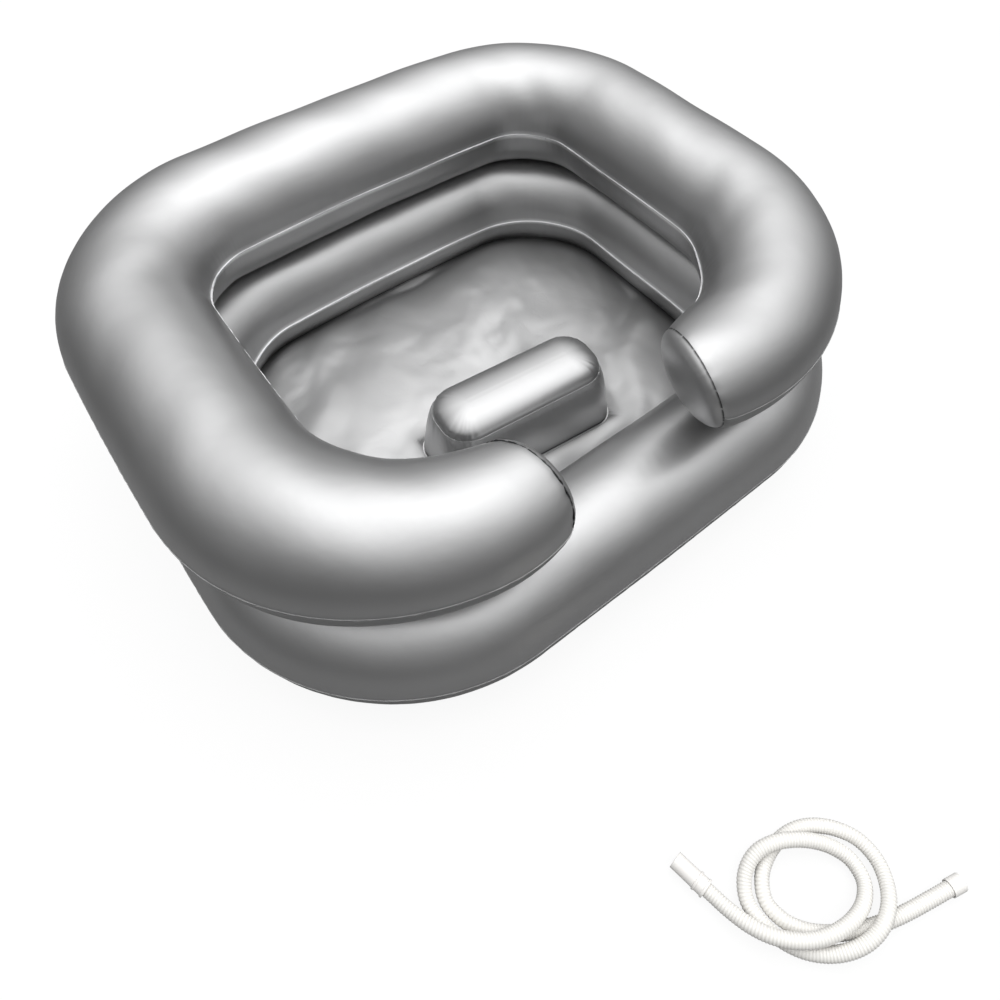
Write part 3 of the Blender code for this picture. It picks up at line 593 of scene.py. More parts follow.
weldLook = {
    "lip": 0.002, "outerLip": 0.0008, "upperInnerLip": 0.0011, "lowerInnerLip": 0.0016, "endLip": 0.0007,
    "headrestLip": 0.0004, "outerPucker": 0.0002, "innerPucker": 0.0002, "puckerReach": 0.014,
    "puckerStart": 0.004, "endPucker": 0.0006, "endReach": 0.006, "panelPucker": 0.0003, "panelReach": 0.003,
    "unevenness": 0.0005, "contactRounding": 0.0016, "scallop": 0.0002, "breadth": 0.0004,
    "wander": 0.0005, "wanderReach": 0.012, "cornerSwell": 0.0008, "swellSlant": 0.04, "cornerSlant": 0.03,
    "crowding": 0.10, "panelRagged": 0.35, "panelDark": 1.3, "panelHighlightFleck": 0.6,
}
waveCounts = {  # whole numbers of waves round a ring, an arm's end or the headrest
    "outerWeld": (61, 74, 97, 123, 152), "innerWeld": (53, 83, 101, 131, 163), "swell": (7, 11, 17),
    "corner": (11, 17, 26), "armEnd": (13, 19, 27, 38), "lipBreadth": (5, 9, 14), "wander": (5, 8, 13),
    "panel": (19, 31, 46, 63), "headrestSeam": (37, 53, 71, 90), "headrestFoot": (23, 31, 43),
}
ringStations = 520
sectionSteps = 30
lineSteps = 3000
bendSpan = 12  # stations on each side over which a bend is averaged


def ringLine(ring, ends=None):
    # A rectangle with round corners, walked anticlockwise; its sides are then pushed out by a parabola
    half, front, back = ring["halfLength"], ring["frontY"], ring["backY"]
    small, large = ring["frontRadius"], ring["backRadius"]
    corners = [(half - small, front + small, small, -math.pi / 2.0), (half - large, back - large, large, 0.0),
               (large - half, back - large, large, math.pi / 2.0),
               (small - half, front + small, small, math.pi)]
    parts = [arc(*corner, 60) for corner in corners]
    if ends:
        parts = [np.array([[ends[0], front]])] + parts + [np.array([[ends[1], front]])]
    else:
        parts.append(parts[0][:1])
    corners = np.vstack(parts)
    travelled = distances(corners)
    x, y = atDistance(travelled, corners, np.linspace(0.0, travelled[-1], lineSteps)).T
    across = (y - (back + front) / 2.0) / ((back - front) / 2.0)
    push = np.where(across > 0.0, ring["backBow"], -ring["frontBow"])
    line = np.stack([x * (1.0 + ring["sideBow"] * (1.0 - across ** 2)),
                     y + push * (1.0 - (x / half) ** 2) * np.abs(across)], axis=1)
    travelled = distances(line)
    where = np.arange(ringStations + (1 if ends else 0)) / ringStations * travelled[-1]
    points = atDistance(travelled, line, where)
    if ends:
        along = np.gradient(points, axis=0)
    else:
        along = np.roll(points, -3, axis=0) - np.roll(points, 3, axis=0)
    outward = unit(np.stack([along[:, 1], -along[:, 0]], axis=1))
    return points, outward, where, travelled[-1]


def nearestStation(x, y, line):
    # For each plan place, the number of the nearest point of a line
    flat = np.column_stack([np.ravel(x), np.ravel(y)])
    found = [((block[:, None] - line[None]) ** 2).sum(axis=-1).argmin(axis=1)
             for block in np.array_split(flat, 1 + len(flat) // 2000)]
    return np.concatenate(found).reshape(np.shape(x))


def contactAt(x, y):
    # Where two tubes press on each other: the plane through the circles in which they cross, worked out from
    # both radii and centres at each station of the upper ring. Beyond the arms it lies above the lower ring
    centre, across = upperSections["centre"], upperSections["across"][:, :2]
    line, outward = lowerSections["centre"][:, :2], lowerSections["across"][:, :2]
    below = nearestStation(centre[:, 0], centre[:, 1], line)
    offset = ((centre[:, :2] - line[below]) * outward[below]).sum(axis=1)
    low, high = lowerRing["height"], centre[:, 2]
    level = (high ** 2 - low ** 2 + lowerRing["tube"] ** 2 - upperSections["radius"] ** 2 - offset ** 2) / 2.0
    level = level / (high - low)
    slope = offset / (high - low)
    station = nearestStation(x, y, centre[:, :2])
    u = (x - centre[station, 0]) * across[station, 0] + (y - centre[station, 1]) * across[station, 1]
    return level[station] - slope[station] * u


def upperRest(x, y):  # the upper ring rests on the contact plane, a hair above the lower ring
    return contactAt(x, y) + fitGap


def ground(x, y):
    return 0.0 * x


def turnedAbout(vectors, angles):  # plan directions turned about Z
    x, y, cosine, sine = vectors[..., 0], vectors[..., 1], np.cos(angles), np.sin(angles)
    return np.stack([x * cosine - y * sine, x * sine + y * cosine], axis=-1)


def ringSections(ring, arms=None):
    # For each station: centre, across, up, radius, half height and distance along the ring. The arms grow
    # thinner by an eased share, turn and tilt, and round off at their ends as a quarter circle does
    points, outward, where, length = ringLine(ring, (arms["rightX"], arms["leftX"]) if arms else None)
    count = len(points)
    up = np.tile((0.0, 0.0, 1.0), (count, 1))
    turning = np.linalg.norm(np.gradient(outward, axis=0), axis=1) / (length / ringStations)
    turning = np.pad(turning * ring["tube"], bendSpan, mode="edge")
    bend = np.convolve(turning, np.full(2 * bendSpan + 1, 1.0 / (2 * bendSpan + 1)), mode="valid")
    radius = np.full(count, ring["tube"])
    halfHeight = radius.copy()
    centre = np.column_stack([points, np.full(count, ring["height"])])
    across = np.column_stack([outward, np.zeros(count)])
    intoGap = ending = None
    if arms:
        ending = np.minimum(where, length - where)
        onRight = where < length / 2.0
        taper = eased(1.0 - ending / arms["taper"])
        turn = eased(1.0 - ending / arms["turnLength"])
        angles = turn * np.radians(np.where(onRight, arms["rightTurn"], arms["leftTurn"]))
        across = np.column_stack([turnedAbout(outward, angles), np.zeros(count)])
        intoGap = np.cross((0.0, 0.0, 1.0), across) * np.where(onRight, -1.0, 1.0)[:, None]
        tilt = np.radians(arms["tilt"]) * turn
        up = up * np.cos(tilt)[:, None] + intoGap * np.sin(tilt)[:, None]
        rounding = np.clip(1.0 - ending / arms["roundLength"], 0.0, arms["roundest"])
        draw = arms["roundShare"] * (1.0 - np.sqrt(1.0 - rounding ** 2))
        draw = draw + (1.0 - arms["roundShare"]) * eased(1.0 - ending / arms["drawLength"])
        radius = ring["tube"] * (1.0 - (1.0 - arms["endShare"]) * taper - arms["draw"] * draw)
        halfHeight = radius * (1.0 - (1.0 - arms["endHeight"]) * taper)
        centre[:, 1] -= arms["forward"] * taper
        centre[:, 2] += arms["rise"] * taper + arms["drawRise"] * draw
    return {"centre": centre, "across": across, "up": up, "radius": radius, "halfHeight": halfHeight,
            "share": where / length, "intoGap": intoGap, "ending": ending, "bend": bend,
            "innerLip": weldLook["upperInnerLip" if arms else "lowerInnerLip"]}


def valvePlace(prefix):
    # Z along the valve, Y as near upward as that allows
    place, way = (Vector(numbers) for numbers in valvePlaces[prefix])
    axis = way.normalized()
    up = Vector((0.0, 0.0, 1.0))
    up = (up - axis * up.dot(axis)).normalized()
    return Matrix.Translation(place) @ Matrix((up.cross(axis), up, axis)).transposed().to_4x4()


def seatValve(points, faces, prefix):
    # The film is drawn flat under the flange, as the weld draws it, and opened for the collar
    place = valvePlace(prefix)
    axis, along, _, distance = fromAxis(points, place)
    flange = valveShape["flange"]
    share = 1.0 - eased((distance - flange) / (valveShape["seatReach"] * flange))
    share = np.where(np.abs(along) < valveShape["seatDepth"], share, 0.0)
    level = np.where(np.arange(len(points)) < len(points) // 2, 0.0, -filmThickness) - valveShape["seatGap"]
    points = points + (share * (level - along))[:, None] * axis
    collar = valveShape["stem"] + valveShape["collarWall"] + 2.0 * fitGap
    return openHole(points, faces, place, collar, valveShape["holeReach"] * flange)


def filmSwell(sections, angles, seed, outerWaves, innerWaves):
    # How far the film stands off its half ellipse: slow sines, more of them where the ring bends, and puckers
    # that die away exponentially from the two welds and from an arm's end
    weld = weldLook
    radius, share = sections["radius"][:, None], sections["share"][:, None]
    slow = waves(share + angles * weld["swellSlant"], waveCounts["swell"], seed + 2)
    swell = weld["unevenness"] * slow * np.sin(angles)
    lumps = waves(share + angles * weld["cornerSlant"], waveCounts["corner"], seed + 3) * np.sin(angles)
    lumps = lumps * (0.6 - 0.4 * np.cos(angles))  # stronger towards the inner weld
    swell = swell + weld["cornerSwell"] * sections["bend"][:, None] * lumps
    for away, ripple, depth in ((radius * angles, outerWaves, weld["outerPucker"]),
                                (radius * (math.pi - angles), innerWaves, weld["innerPucker"])):
        start = np.sin(np.clip(away / weld["puckerStart"], 0.0, math.pi / 2.0))
        fade = np.exp(-away / weld["puckerReach"]) * start
        swell = swell + depth * ripple * fade
    if sections["ending"] is not None:
        endWaves = waves(angles / math.pi, waveCounts["armEnd"], seed + 5)
        swell = swell + weld["endPucker"] * endWaves * np.exp(-sections["ending"][:, None] / weld["endReach"])
    return swell


def filmHalf(name, node, sections, side, restsOn, seed, ringSeed, valve=None):
    # Half a tube: half an ellipse's outline carried along the ring and swollen as above, pressed flat where
    # it rests on its neighbour, and ending in a flat lip at each weld
    weld = weldLook
    angles = np.linspace(0.0, math.pi, sectionSteps + 1)
    angles = (angles - weld["crowding"] * np.sin(2.0 * angles))[None]  # closer together near the welds
    radius, high, share = (sections[key][:, None] for key in ("radius", "halfHeight", "share"))
    outerWaves = waves(share, waveCounts["outerWeld"], seed)
    innerWaves = waves(share, waveCounts["innerWeld"], seed + 1)
    swell = filmSwell(sections, angles, seed, outerWaves, innerWaves)
    flat = (radius + swell) * np.cos(angles)
    rise = (high + swell) * np.sin(angles)
    if restsOn:
        plan = sections["centre"][:, None, :2] + sections["across"][:, None, :2] * flat[..., None]
        limit = np.abs(sections["centre"][:, None, 2] - restsOn(plan[..., 0], plan[..., 1]))
        rise = np.minimum(softLower(rise, limit, weld["contactRounding"]), limit)
    low = np.full_like(radius, fitGap / 2.0)
    height = low + filmThickness
    root = radius + filmThickness
    lipOut = radius + weld["outerLip"] + weld["scallop"] * outerWaves
    lipIn = radius + sections["innerLip"] + weld["scallop"] * innerWaves
    lipIn = lipIn + weld["breadth"] * waves(share, waveCounts["lipBreadth"], seed)
    wander = weld["wander"] * waves(share, waveCounts["wander"], ringSeed)
    wander = wander * np.exp(-radius * (math.pi - angles) / weld["wanderReach"])
    wander = np.concatenate([wander[:, :1], wander, wander[:, -1:]], axis=1)
    kept = slice(1, sectionSteps)
    outsideU = np.concatenate([lipOut, root, flat[:, kept], -root, -lipIn], axis=1)
    outsideV = np.concatenate([height, height, np.maximum(rise[:, kept], height), height, height], axis=1)
    thinner = 1.0 - filmThickness / radius
    inner = radius * thinner
    insideU = np.concatenate([lipOut, inner, flat[:, kept] * thinner, -inner, -lipIn], axis=1)
    insideV = np.concatenate([low, low, np.maximum(rise[:, kept] - filmThickness, low), low, low], axis=1)
    u, v = np.stack([outsideU, insideU])[..., None], np.stack([outsideV, insideV])[..., None]
    points = (sections["centre"][:, None] + sections["across"][:, None] * u
              + sections["up"][:, None] * (side * v + wander[..., None])).reshape(-1, 3)
    rows, columns = outsideU.shape
    faces = shellFaces(rows, columns, sections["ending"] is None, False)
    if valve:
        points, faces = seatValve(points, faces, valve)
    seam = np.zeros((2, rows, columns))
    edge = seam.copy()
    # The inner weld's lip takes the seam colour, a painted highlight; the outer lip is marked darker
    seam[:, :, -2:] = 1.0
    edge[:, :, :2] = 1.0
    # The bottom half takes the darker copy of the film, a painted shade
    putMesh(name, node, points, faces, "film" if side > 0.0 else "underFilmPaintedShade",
            values={"seam": seam, "edge": edge})


def endPanel(name, node, sections, index, seed):
    # A disc in an arm's mouth: rows from its weld inward, pushed out by the air as a quarter ellipse, with
    # puckers that die away from the weld
    weld = weldLook
    centre, across, up = (sections[key][index] for key in ("centre", "across", "up"))
    radius, high = sections["radius"][index], sections["halfHeight"][index]
    normal = np.cross(across, up)
    normal = normal * np.sign(normal @ sections["intoGap"][index])
    sides = 192
    angles = roundAngles(sides)[None]
    bulges = np.linspace(0.0, 1.5, 18)[1:]
    share = np.concatenate([[1.0, 1.0], np.cos(bulges)])[:, None]
    bulge = np.concatenate([[0.0, 0.0], armShape["bulge"] * np.sin(bulges)])[:, None]
    puckers = waves(angles / math.tau, waveCounts["panel"], seed)
    lip = np.zeros_like(share)
    lip[:2, 0] = weld["endLip"], weld["endLip"] / 3.0
    lip = lip * (1.0 + weld["panelRagged"] * puckers)
    fade = np.exp((share - 1.0) * radius / weld["panelReach"])
    fade[:2] = 0.0
    out = (fitGap + bulge + weld["panelPucker"] * puckers * fade)[..., None]
    u = ((radius * share + lip) * np.cos(angles))[..., None]
    v = ((high * share + lip) * np.sin(angles))[..., None]
    inside = centre + across * u + up * v + normal * out
    rows = len(share)
    edge = np.zeros((2, rows, sides))
    seam = edge.copy()
    edge[:, :2] = np.clip(weld["panelDark"] + puckers, 0.0, 1.0)
    seam[:, :2] = np.clip(-weld["panelHighlightFleck"] - puckers, 0.0, 1.0)  # a painted highlight where the puckers are deepest
    putMesh(name, node, np.stack([inside + normal * filmThickness, inside]),
            shellFaces(rows, sides, False, True, True), "panelFilm", values={"edge": edge, "seam": seam})


valveShape = {
    "flange": 0.009, "flangeThick": 0.001, "stem": 0.0044, "stemWall": 0.0011, "length": 0.015,
    "collarWall": 0.001, "collarDepth": 0.003, "overhang": 0.0012, "rimThick": 0.0012, "flapThick": 0.0006,
    "flapOverlap": 0.0006, "shank": 0.0055, "headThick": 0.0018, "head": 0.0052, "strapWidth": 0.003,
    "strapThick": 0.0007, "strapReach": 0.004, "ridge": 0.0002, "seatDepth": 0.008, "seatGap": 0.00002,
    "seatReach": 1.4, "holeReach": 1.06, "ridgePlaces": (0.85, 0.25), "ridgeWidth": 0.0004, "plugTip": 0.9,
}
valvePlaces = {
    # prefix: outer face of the film, and the way the valve points
    "upper_valve": ((-0.022, 0.25538, 0.180855), (0.0, 0.866073, 0.499918)),
    "lower_valve": ((0.022, 0.233225, 0.078891), (0.0, 0.848046, 0.529922)),
    "headrest_valve": ((-0.00005, -0.041666, 0.033388), (0.095846, 0.995396, 0.0)),
}
upperSections = ringSections(upperRing, armShape)
lowerSections = ringSections(lowerRing)
filmHalf("upperRingTop", "upper_ring_top_film", upperSections, 1.0, None, 11, 81, "upper_valve")
filmHalf("upperRingBottom", "upper_ring_bottom_film", upperSections, -1.0, upperRest, 21, 81)
filmHalf("lowerRingTop", "lower_ring_top_film", lowerSections, 1.0, contactAt, 31, 82, "lower_valve")
filmHalf("lowerRingBottom", "lower_ring_bottom_film", lowerSections, -1.0, ground, 41, 82)
endPanel("rightArmEnd", "upper_ring_right_end", upperSections, 0, 51)
endPanel("leftArmEnd", "upper_ring_left_end", upperSections, -1, 61)
print("rings made")


# Floor of slack film, and the drain in it

floorShape = {
    "height": 0.018, "rows": 74, "fold": 0.0052, "weldDepth": 0.0007, "rimShadeReach": 0.12, "footReach": 0.003,
    "middle": (0.0, -0.011), "flat": (0.425, 0.325), "area": 0.128, "holeReach": 0.026,
    "firstRow": 0.02, "bend": 0.02, "bendScale": 14.0, "foldAim": (0.8, 0.6), "calmWeld": 0.06,
    # distance at which the folds start, and over which they grow
    "calmDrain": (0.018, 0.03), "calmFoot": (0.001, 0.02),
    # waves a metre across and along, two shifts and the share of the depth
    "folds": ((9.0, 24.0, 5.0, 2.0, 1.0), (26.0, 40.0, 0.0, 0.0, 0.32), (80.0, 90.0, 0.0, 0.0, 0.06)),
}
drainShape = {
    "place": (-0.1279425, -0.1179324), "flange": 0.017, "thick": 0.0012, "seat": 0.0085, "draft": 0.0005,
    "depth": 0.004, "wall": 0.0014, "spout": 0.0046, "bore": 0.0034, "spoutEnd": 0.0045, "cone": 0.0035,
    "head": 0.0115, "headThick": 0.0015, "knob": 0.004, "waist": 0.0026, "knobHeight": 0.005,
    "strapWidth": 0.005, "strapLength": 0.026, "strapTurn": 140.0, "strapThick": 0.0007,
    "ridgePlaces": (0.85, 0.7), "ridgeWidth": 0.0005, "ridge": 0.0002, "strapFall": 0.009, "strapEnd": 0.006,
}
headrestShape = {
    "centre": (-0.0035, -0.0775), "turn": -5.5, "seam": 0.078, "crown": 0.015, "halfLength": 0.078,
    "halfDepth": 0.030, "corner": 0.025, "flare": 0.006, "baseCorner": 0.018, "belly": 0.0048,
    "bellyPower": 0.8, "pucker": 0.0010, "footPucker": 0.0010, "ragged": 0.0003, "seamHighlightShare": 0.15,
    "footShadeReach": 0.004, "cornerInset": 0.011, "cornerWidth": 0.008, "evenSeam": 0.12, "evenFoot": 0.1,
    "topReach": 0.004, "topStart": 0.0005, "seamReach": 0.010, "footReach": 0.012, "start": 0.05,
    "rootGap": 0.0002,
}


def headrestPlace(points):  # local plan places of the headrest, turned and moved
    return turnedAbout(points, math.radians(headrestShape["turn"])) + np.array(headrestShape["centre"])


def headrestDistance(plan):
    # How far outside the headrest's foot a plan place is, negative inside
    shape = headrestShape
    local = turnedAbout(plan - np.array(shape["centre"]), -math.radians(shape["turn"]))
    out = np.abs(local) - (np.array([shape["halfLength"], shape["halfDepth"]]) + shape["flare"])
    return np.linalg.norm(np.maximum(out, 0.0), axis=-1) + np.minimum(out.max(axis=-1), 0.0)


def floorHeights(plan, share):
    # Soft folds: noise stretched across the floor and bent by slower noise, flat at the welds and the drain
    shape = floorShape
    x, y = plan[..., 0], plan[..., 1]
    scale, bend = shape["bendScale"], shape["bend"]
    bendX = x + bend * softNoise(x * scale, y * scale, 3)
    bendY = y + bend * softNoise(x * scale + 9.0, y * scale + 4.0, 4)
    cosine, sine = shape["foldAim"]
    u, v = cosine * bendX + sine * bendY, cosine * bendY - sine * bendX
    folds = np.zeros_like(x)
    for seed, (close, closer, moveU, moveV, depth) in enumerate(shape["folds"], 5):
        folds = folds + depth * softNoise(u * close + moveU, v * closer + moveV, seed)
    drop = np.linalg.norm(plan - np.array(drainShape["place"]), axis=-1)
    calm = eased((drop - shape["calmDrain"][0]) / shape["calmDrain"][1])
    calm = calm * eased((headrestDistance(plan) - shape["calmFoot"][0]) / shape["calmFoot"][1])
    return shape["height"] + shape["fold"] * folds * (calm * eased((1.0 - share) / shape["calmWeld"]))


def makeFloor():
    # Rows are shares of the way from the middle to the weld; a hole is opened round the drain by moving
    # the nearest points outward to the collar
    line, outward, _, _ = ringLine(lowerRing)
    drop = lowerRing["height"] - floorShape["height"]
    inset = math.sqrt(lowerRing["tube"] ** 2 - drop ** 2) - floorShape["weldDepth"]
    edge = (line - outward * inset)[::2]
    share = np.linspace(floorShape["firstRow"], 1.0, floorShape["rows"])[:, None]
    plan = np.array(floorShape["middle"]) * (1 - share[..., None]) + edge[None] * share[..., None]
    height = floorHeights(plan, share)
    top = np.concatenate([plan, height[..., None]], axis=-1)
    rows, columns = top.shape[:2]
    points = np.stack([top, top - np.array([0.0, 0.0, filmThickness])]).reshape(-1, 3)
    half = rows * columns
    faces = [f for f in shellFaces(rows, columns, False, True)
             if not (max(k % half for k in f) < columns and min(f) < half <= max(f))]
    caps = [list(range(columns)), [half + j for j in range(columns)][::-1]]
    place = Matrix.Translation((*drainShape["place"], floorShape["height"]))
    hole = drainShape["seat"] + drainShape["wall"] + fitGap
    points, faces = openHole(points, faces, place, hole, floorShape["holeReach"])
    away = np.maximum(headrestDistance(plan), 0.0)
    # A painted shade on the floor, strongest by the ring's weld and round the headrest's foot
    rim = np.maximum(np.exp((share - 1.0) / floorShape["rimShadeReach"]), np.exp(-away / floorShape["footReach"]))
    made = putMesh("floorFilm", "floor_film", points, faces + caps, "floor", sharp=60.0,
                   values={"rim": np.tile(rim, (2, 1))})


makeFloor()
print("floor made")


# Headrest: a small air cushion

headrestSteps = 360
headrestRows = 22


def roundedOutline(halfX, halfY, radius):
    # A rectangle with round corners, anticlockwise, its points evenly spread
    x, y = halfX - radius, halfY - radius
    spans = [arc(cx, cy, radius, math.pi * turn, 24)
             for cx, cy, turn in ((x, y, 0.0), (-x, y, 0.5), (-x, -y, 1.0), (x, -y, 1.5))]
    line = np.vstack(spans + [spans[0][:1]])
    travelled = distances(line)
    return atDistance(travelled, line, np.arange(headrestSteps) / headrestSteps * travelled[-1])


def levelRow(outline, height):  # a local outline at a height, in the world
    return np.column_stack([headrestPlace(outline), np.broadcast_to(height, headrestSteps)])


def headrestRow(grow, radius, height, shift=None):
    # The outline grown by a length, at one height; a shift moves its points outward
    shape = headrestShape
    outline = roundedOutline(shape["halfLength"] + grow, shape["halfDepth"] + grow, radius)
    if shift is not None:
        outline = outline + unit(outline) * shift[:, None]
    return levelRow(outline, height)


def headrestCrown(outline, share, height):
    # The outline drawn in towards a line along the middle, so the crown is a capsule's and has no ridge
    spine = headrestShape["halfLength"] - headrestShape["halfDepth"]
    core = np.column_stack([np.clip(outline[:, 0], -spine, spine), np.zeros(headrestSteps)])
    return levelRow(core + (outline - core) * share, height)


def headrestWaves():
    # Sines round the seam and the foot, strong where the outline turns its corners
    shape = headrestShape
    position = np.arange(headrestSteps) / headrestSteps
    outline = roundedOutline(shape["halfLength"], shape["halfDepth"], shape["corner"])
    away = np.abs(outline[:, 0]) - shape["halfLength"] + shape["cornerInset"]
    corners = np.exp(-(away / shape["cornerWidth"]) ** 2)
    seamWaves = waves(position, waveCounts["headrestSeam"], 71) * (shape["evenSeam"] + corners)
    footWaves = waves(position, waveCounts["headrestFoot"], 72) * (shape["evenFoot"] + corners)
    return outline, seamWaves, footWaves


def headrestFilm(name, node, walls, capped, finish, values, seams, valve=None):
    # Outside and inside rows of one film; the rows at its seams are marked for a painted highlight
    rows = len(walls[0])
    values["seam"] = np.zeros((2, rows, headrestSteps))
    # The seam rows take a share of the seam colour, a painted highlight
    values["seam"][:, seams] = headrestShape["seamHighlightShare"]
    points, faces = np.reshape(walls, (-1, 3)), shellFaces(rows, headrestSteps, False, True, capped)
    if valve:
        points, faces = seatValve(points, faces, valve)
    return putMesh(name, node, points, faces, finish, values=values)


def makeHeadrestTop():
    # Rows drawn in towards the middle that rise as a quarter ellipse, puckered near the seam
    shape = headrestShape
    film, corner, half, lip = filmThickness, shape["corner"], shape["halfDepth"], weldLook["headrestLip"]
    outline, puckers, _ = headrestWaves()
    seam = shape["seam"] + fitGap / 2.0
    ragged = shape["ragged"] * puckers
    outside = [headrestRow(lip, corner + lip, seam + film, ragged),
               headrestRow(shape["rootGap"], corner, seam + film)]
    inside = [headrestRow(lip, corner + lip, seam, ragged), headrestRow(-film, corner, seam)]
    for angle in np.linspace(0.0, math.pi / 2.0, headrestRows)[1:-1]:
        share = math.cos(angle)
        away = half * (1.0 - share)
        fade = math.exp(-away / shape["topReach"]) * min(1.0, away / shape["topStart"])
        height = shape["seam"] + shape["crown"] * math.sin(angle) + shape["pucker"] * puckers * fade
        outside.append(headrestCrown(outline, share, np.maximum(height, seam + film)))
        inside.append(headrestCrown(outline, share * (1.0 - film / half), np.maximum(height - film, seam)))
    top = headrestFilm("headrestTop", "headrest_top_film", [outside, inside], True, "headrestFilm", {},
                       [0, 1])


def makeHeadrestSide():
    # Rows from the flared foot to the seam, with a belly that is a power of a sine and puckers that die away
    # from both ends
    shape = headrestShape
    film, corner, lip, foot = filmThickness, shape["corner"], weldLook["headrestLip"], weldLook["lip"]
    _, puckers, footWaves = headrestWaves()
    ragged = shape["ragged"] * puckers
    base = floorShape["height"] + fitGap
    low = shape["seam"] - fitGap / 2.0
    tall = low - base
    outside, inside = ([headrestRow(shape["flare"] + foot, shape["baseCorner"] + foot, height)]
                       for height in (base + film, base))
    shares = np.linspace(0.0, 1.0, headrestRows)
    for t in shares:
        height = base + film + (tall - 2.0 * film) * t
        belly = shape["belly"] * math.sin(math.pi * t) ** shape["bellyPower"]
        belly = shape["flare"] * (1.0 - t) ** 3 + belly + shape["rootGap"]
        radius = shape["baseCorner"] + (corner - shape["baseCorner"]) * eased(t * 2.0)
        fold = 0.0
        for depth, ripple, away, reach in (("pucker", puckers, 1.0 - t, "seamReach"),
                                           ("footPucker", footWaves, t, "footReach")):
            fade = math.exp(-away * tall / shape[reach]) * min(1.0, away / shape["start"])
            fold = fold + shape[depth] * ripple * fade
        outside.append(headrestRow(belly, radius, height, fold))
        inside.append(headrestRow(belly - film, radius - film, min(max(height, base + film), low), fold))
    outside.append(headrestRow(lip, corner + lip, low - film, ragged))
    inside.append(headrestRow(lip, corner + lip, low, ragged))
    # A painted shade along the foot of the side band, fading upward from it
    dark = np.concatenate([[0.0], np.exp(-shares * tall / shape["footShadeReach"]), [0.0]])
    headrestFilm("headrestSide", "headrest_side_band", [outside, inside], False, "sideFilmPaintedLightAndShade",
                 {"edge": np.tile(np.repeat(dark, headrestSteps), 2)}, [0, 1, -1, -2], "headrest_valve")


makeHeadrestTop()
makeHeadrestSide()
print("headrest made")


# Valves and drain


def latheSolid(name, node, outline, place, finish, body, sides=40, soft=0.00025, slide=0.0):
    # An open outline of (radius, height) carried round, with a flat disc at both ends
    outline = np.array(outline)
    inner = rounded([(0.0, outline[0][1]), *outline, (0.0, outline[-1][1])], soft)
    inner = inner[inner[:, 0] > 0.3 * min(outline[0][0], outline[-1][0])]
    disc = np.array([0.6, 1.0])  # the discs reach out to this share of the end radius
    inner = np.vstack([outline[:1] * disc, inner, outline[-1:] * disc])
    angles = roundAngles(sides)
    ring = np.stack([np.outer(inner[:, 0], np.cos(angles)) + slide, np.outer(inner[:, 0], np.sin(angles)),
                     np.broadcast_to(inner[:, 1:], (len(inner), sides))], axis=-1)
    putMesh(name, node, inFrame(ring, place), cappedQuads(len(inner), sides), finish, body, 35.0)


strapSides = 12


def strap(name, node, line, width, thickness, finish, place, waist):
    # A soft flat strap along a line in the local XZ plane, its long edges rounded, narrower in the middle
    line = smoothRoute(line, 6)
    along = unit(np.gradient(line, axis=0))
    out = np.stack([along[:, 2], np.zeros(len(line)), -along[:, 0]], axis=1)
    travelled = distances(line)
    narrow = 1.0 - waist * np.sin(math.pi * travelled / travelled[-1])
    cosine, sine = np.cos(roundAngles(strapSides)), np.sin(roundAngles(strapSides))
    across = np.sign(cosine) * np.abs(cosine) ** 0.5 * width / 2.0
    high = np.sign(sine) * np.abs(sine) ** 0.7 * thickness / 2.0
    points = line[:, None] + out[:, None] * high[None, :, None]
    points[..., 1] += across[None] * narrow[:, None]
    made = putMesh(name, node, inFrame(points, place), cappedQuads(len(line), strapSides), finish, None)
    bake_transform(made)
    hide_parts(node)


def ridges(shape, collar, top):  # fine raised rings on a flange, at shares of its width
    found = []
    for share in shape["ridgePlaces"]:
        middle = collar + (shape["flange"] - collar) * share
        width = shape["ridgeWidth"]
        found += [(middle + width, top), (middle, top + shape["ridge"]), (middle - width, top)]
    return found


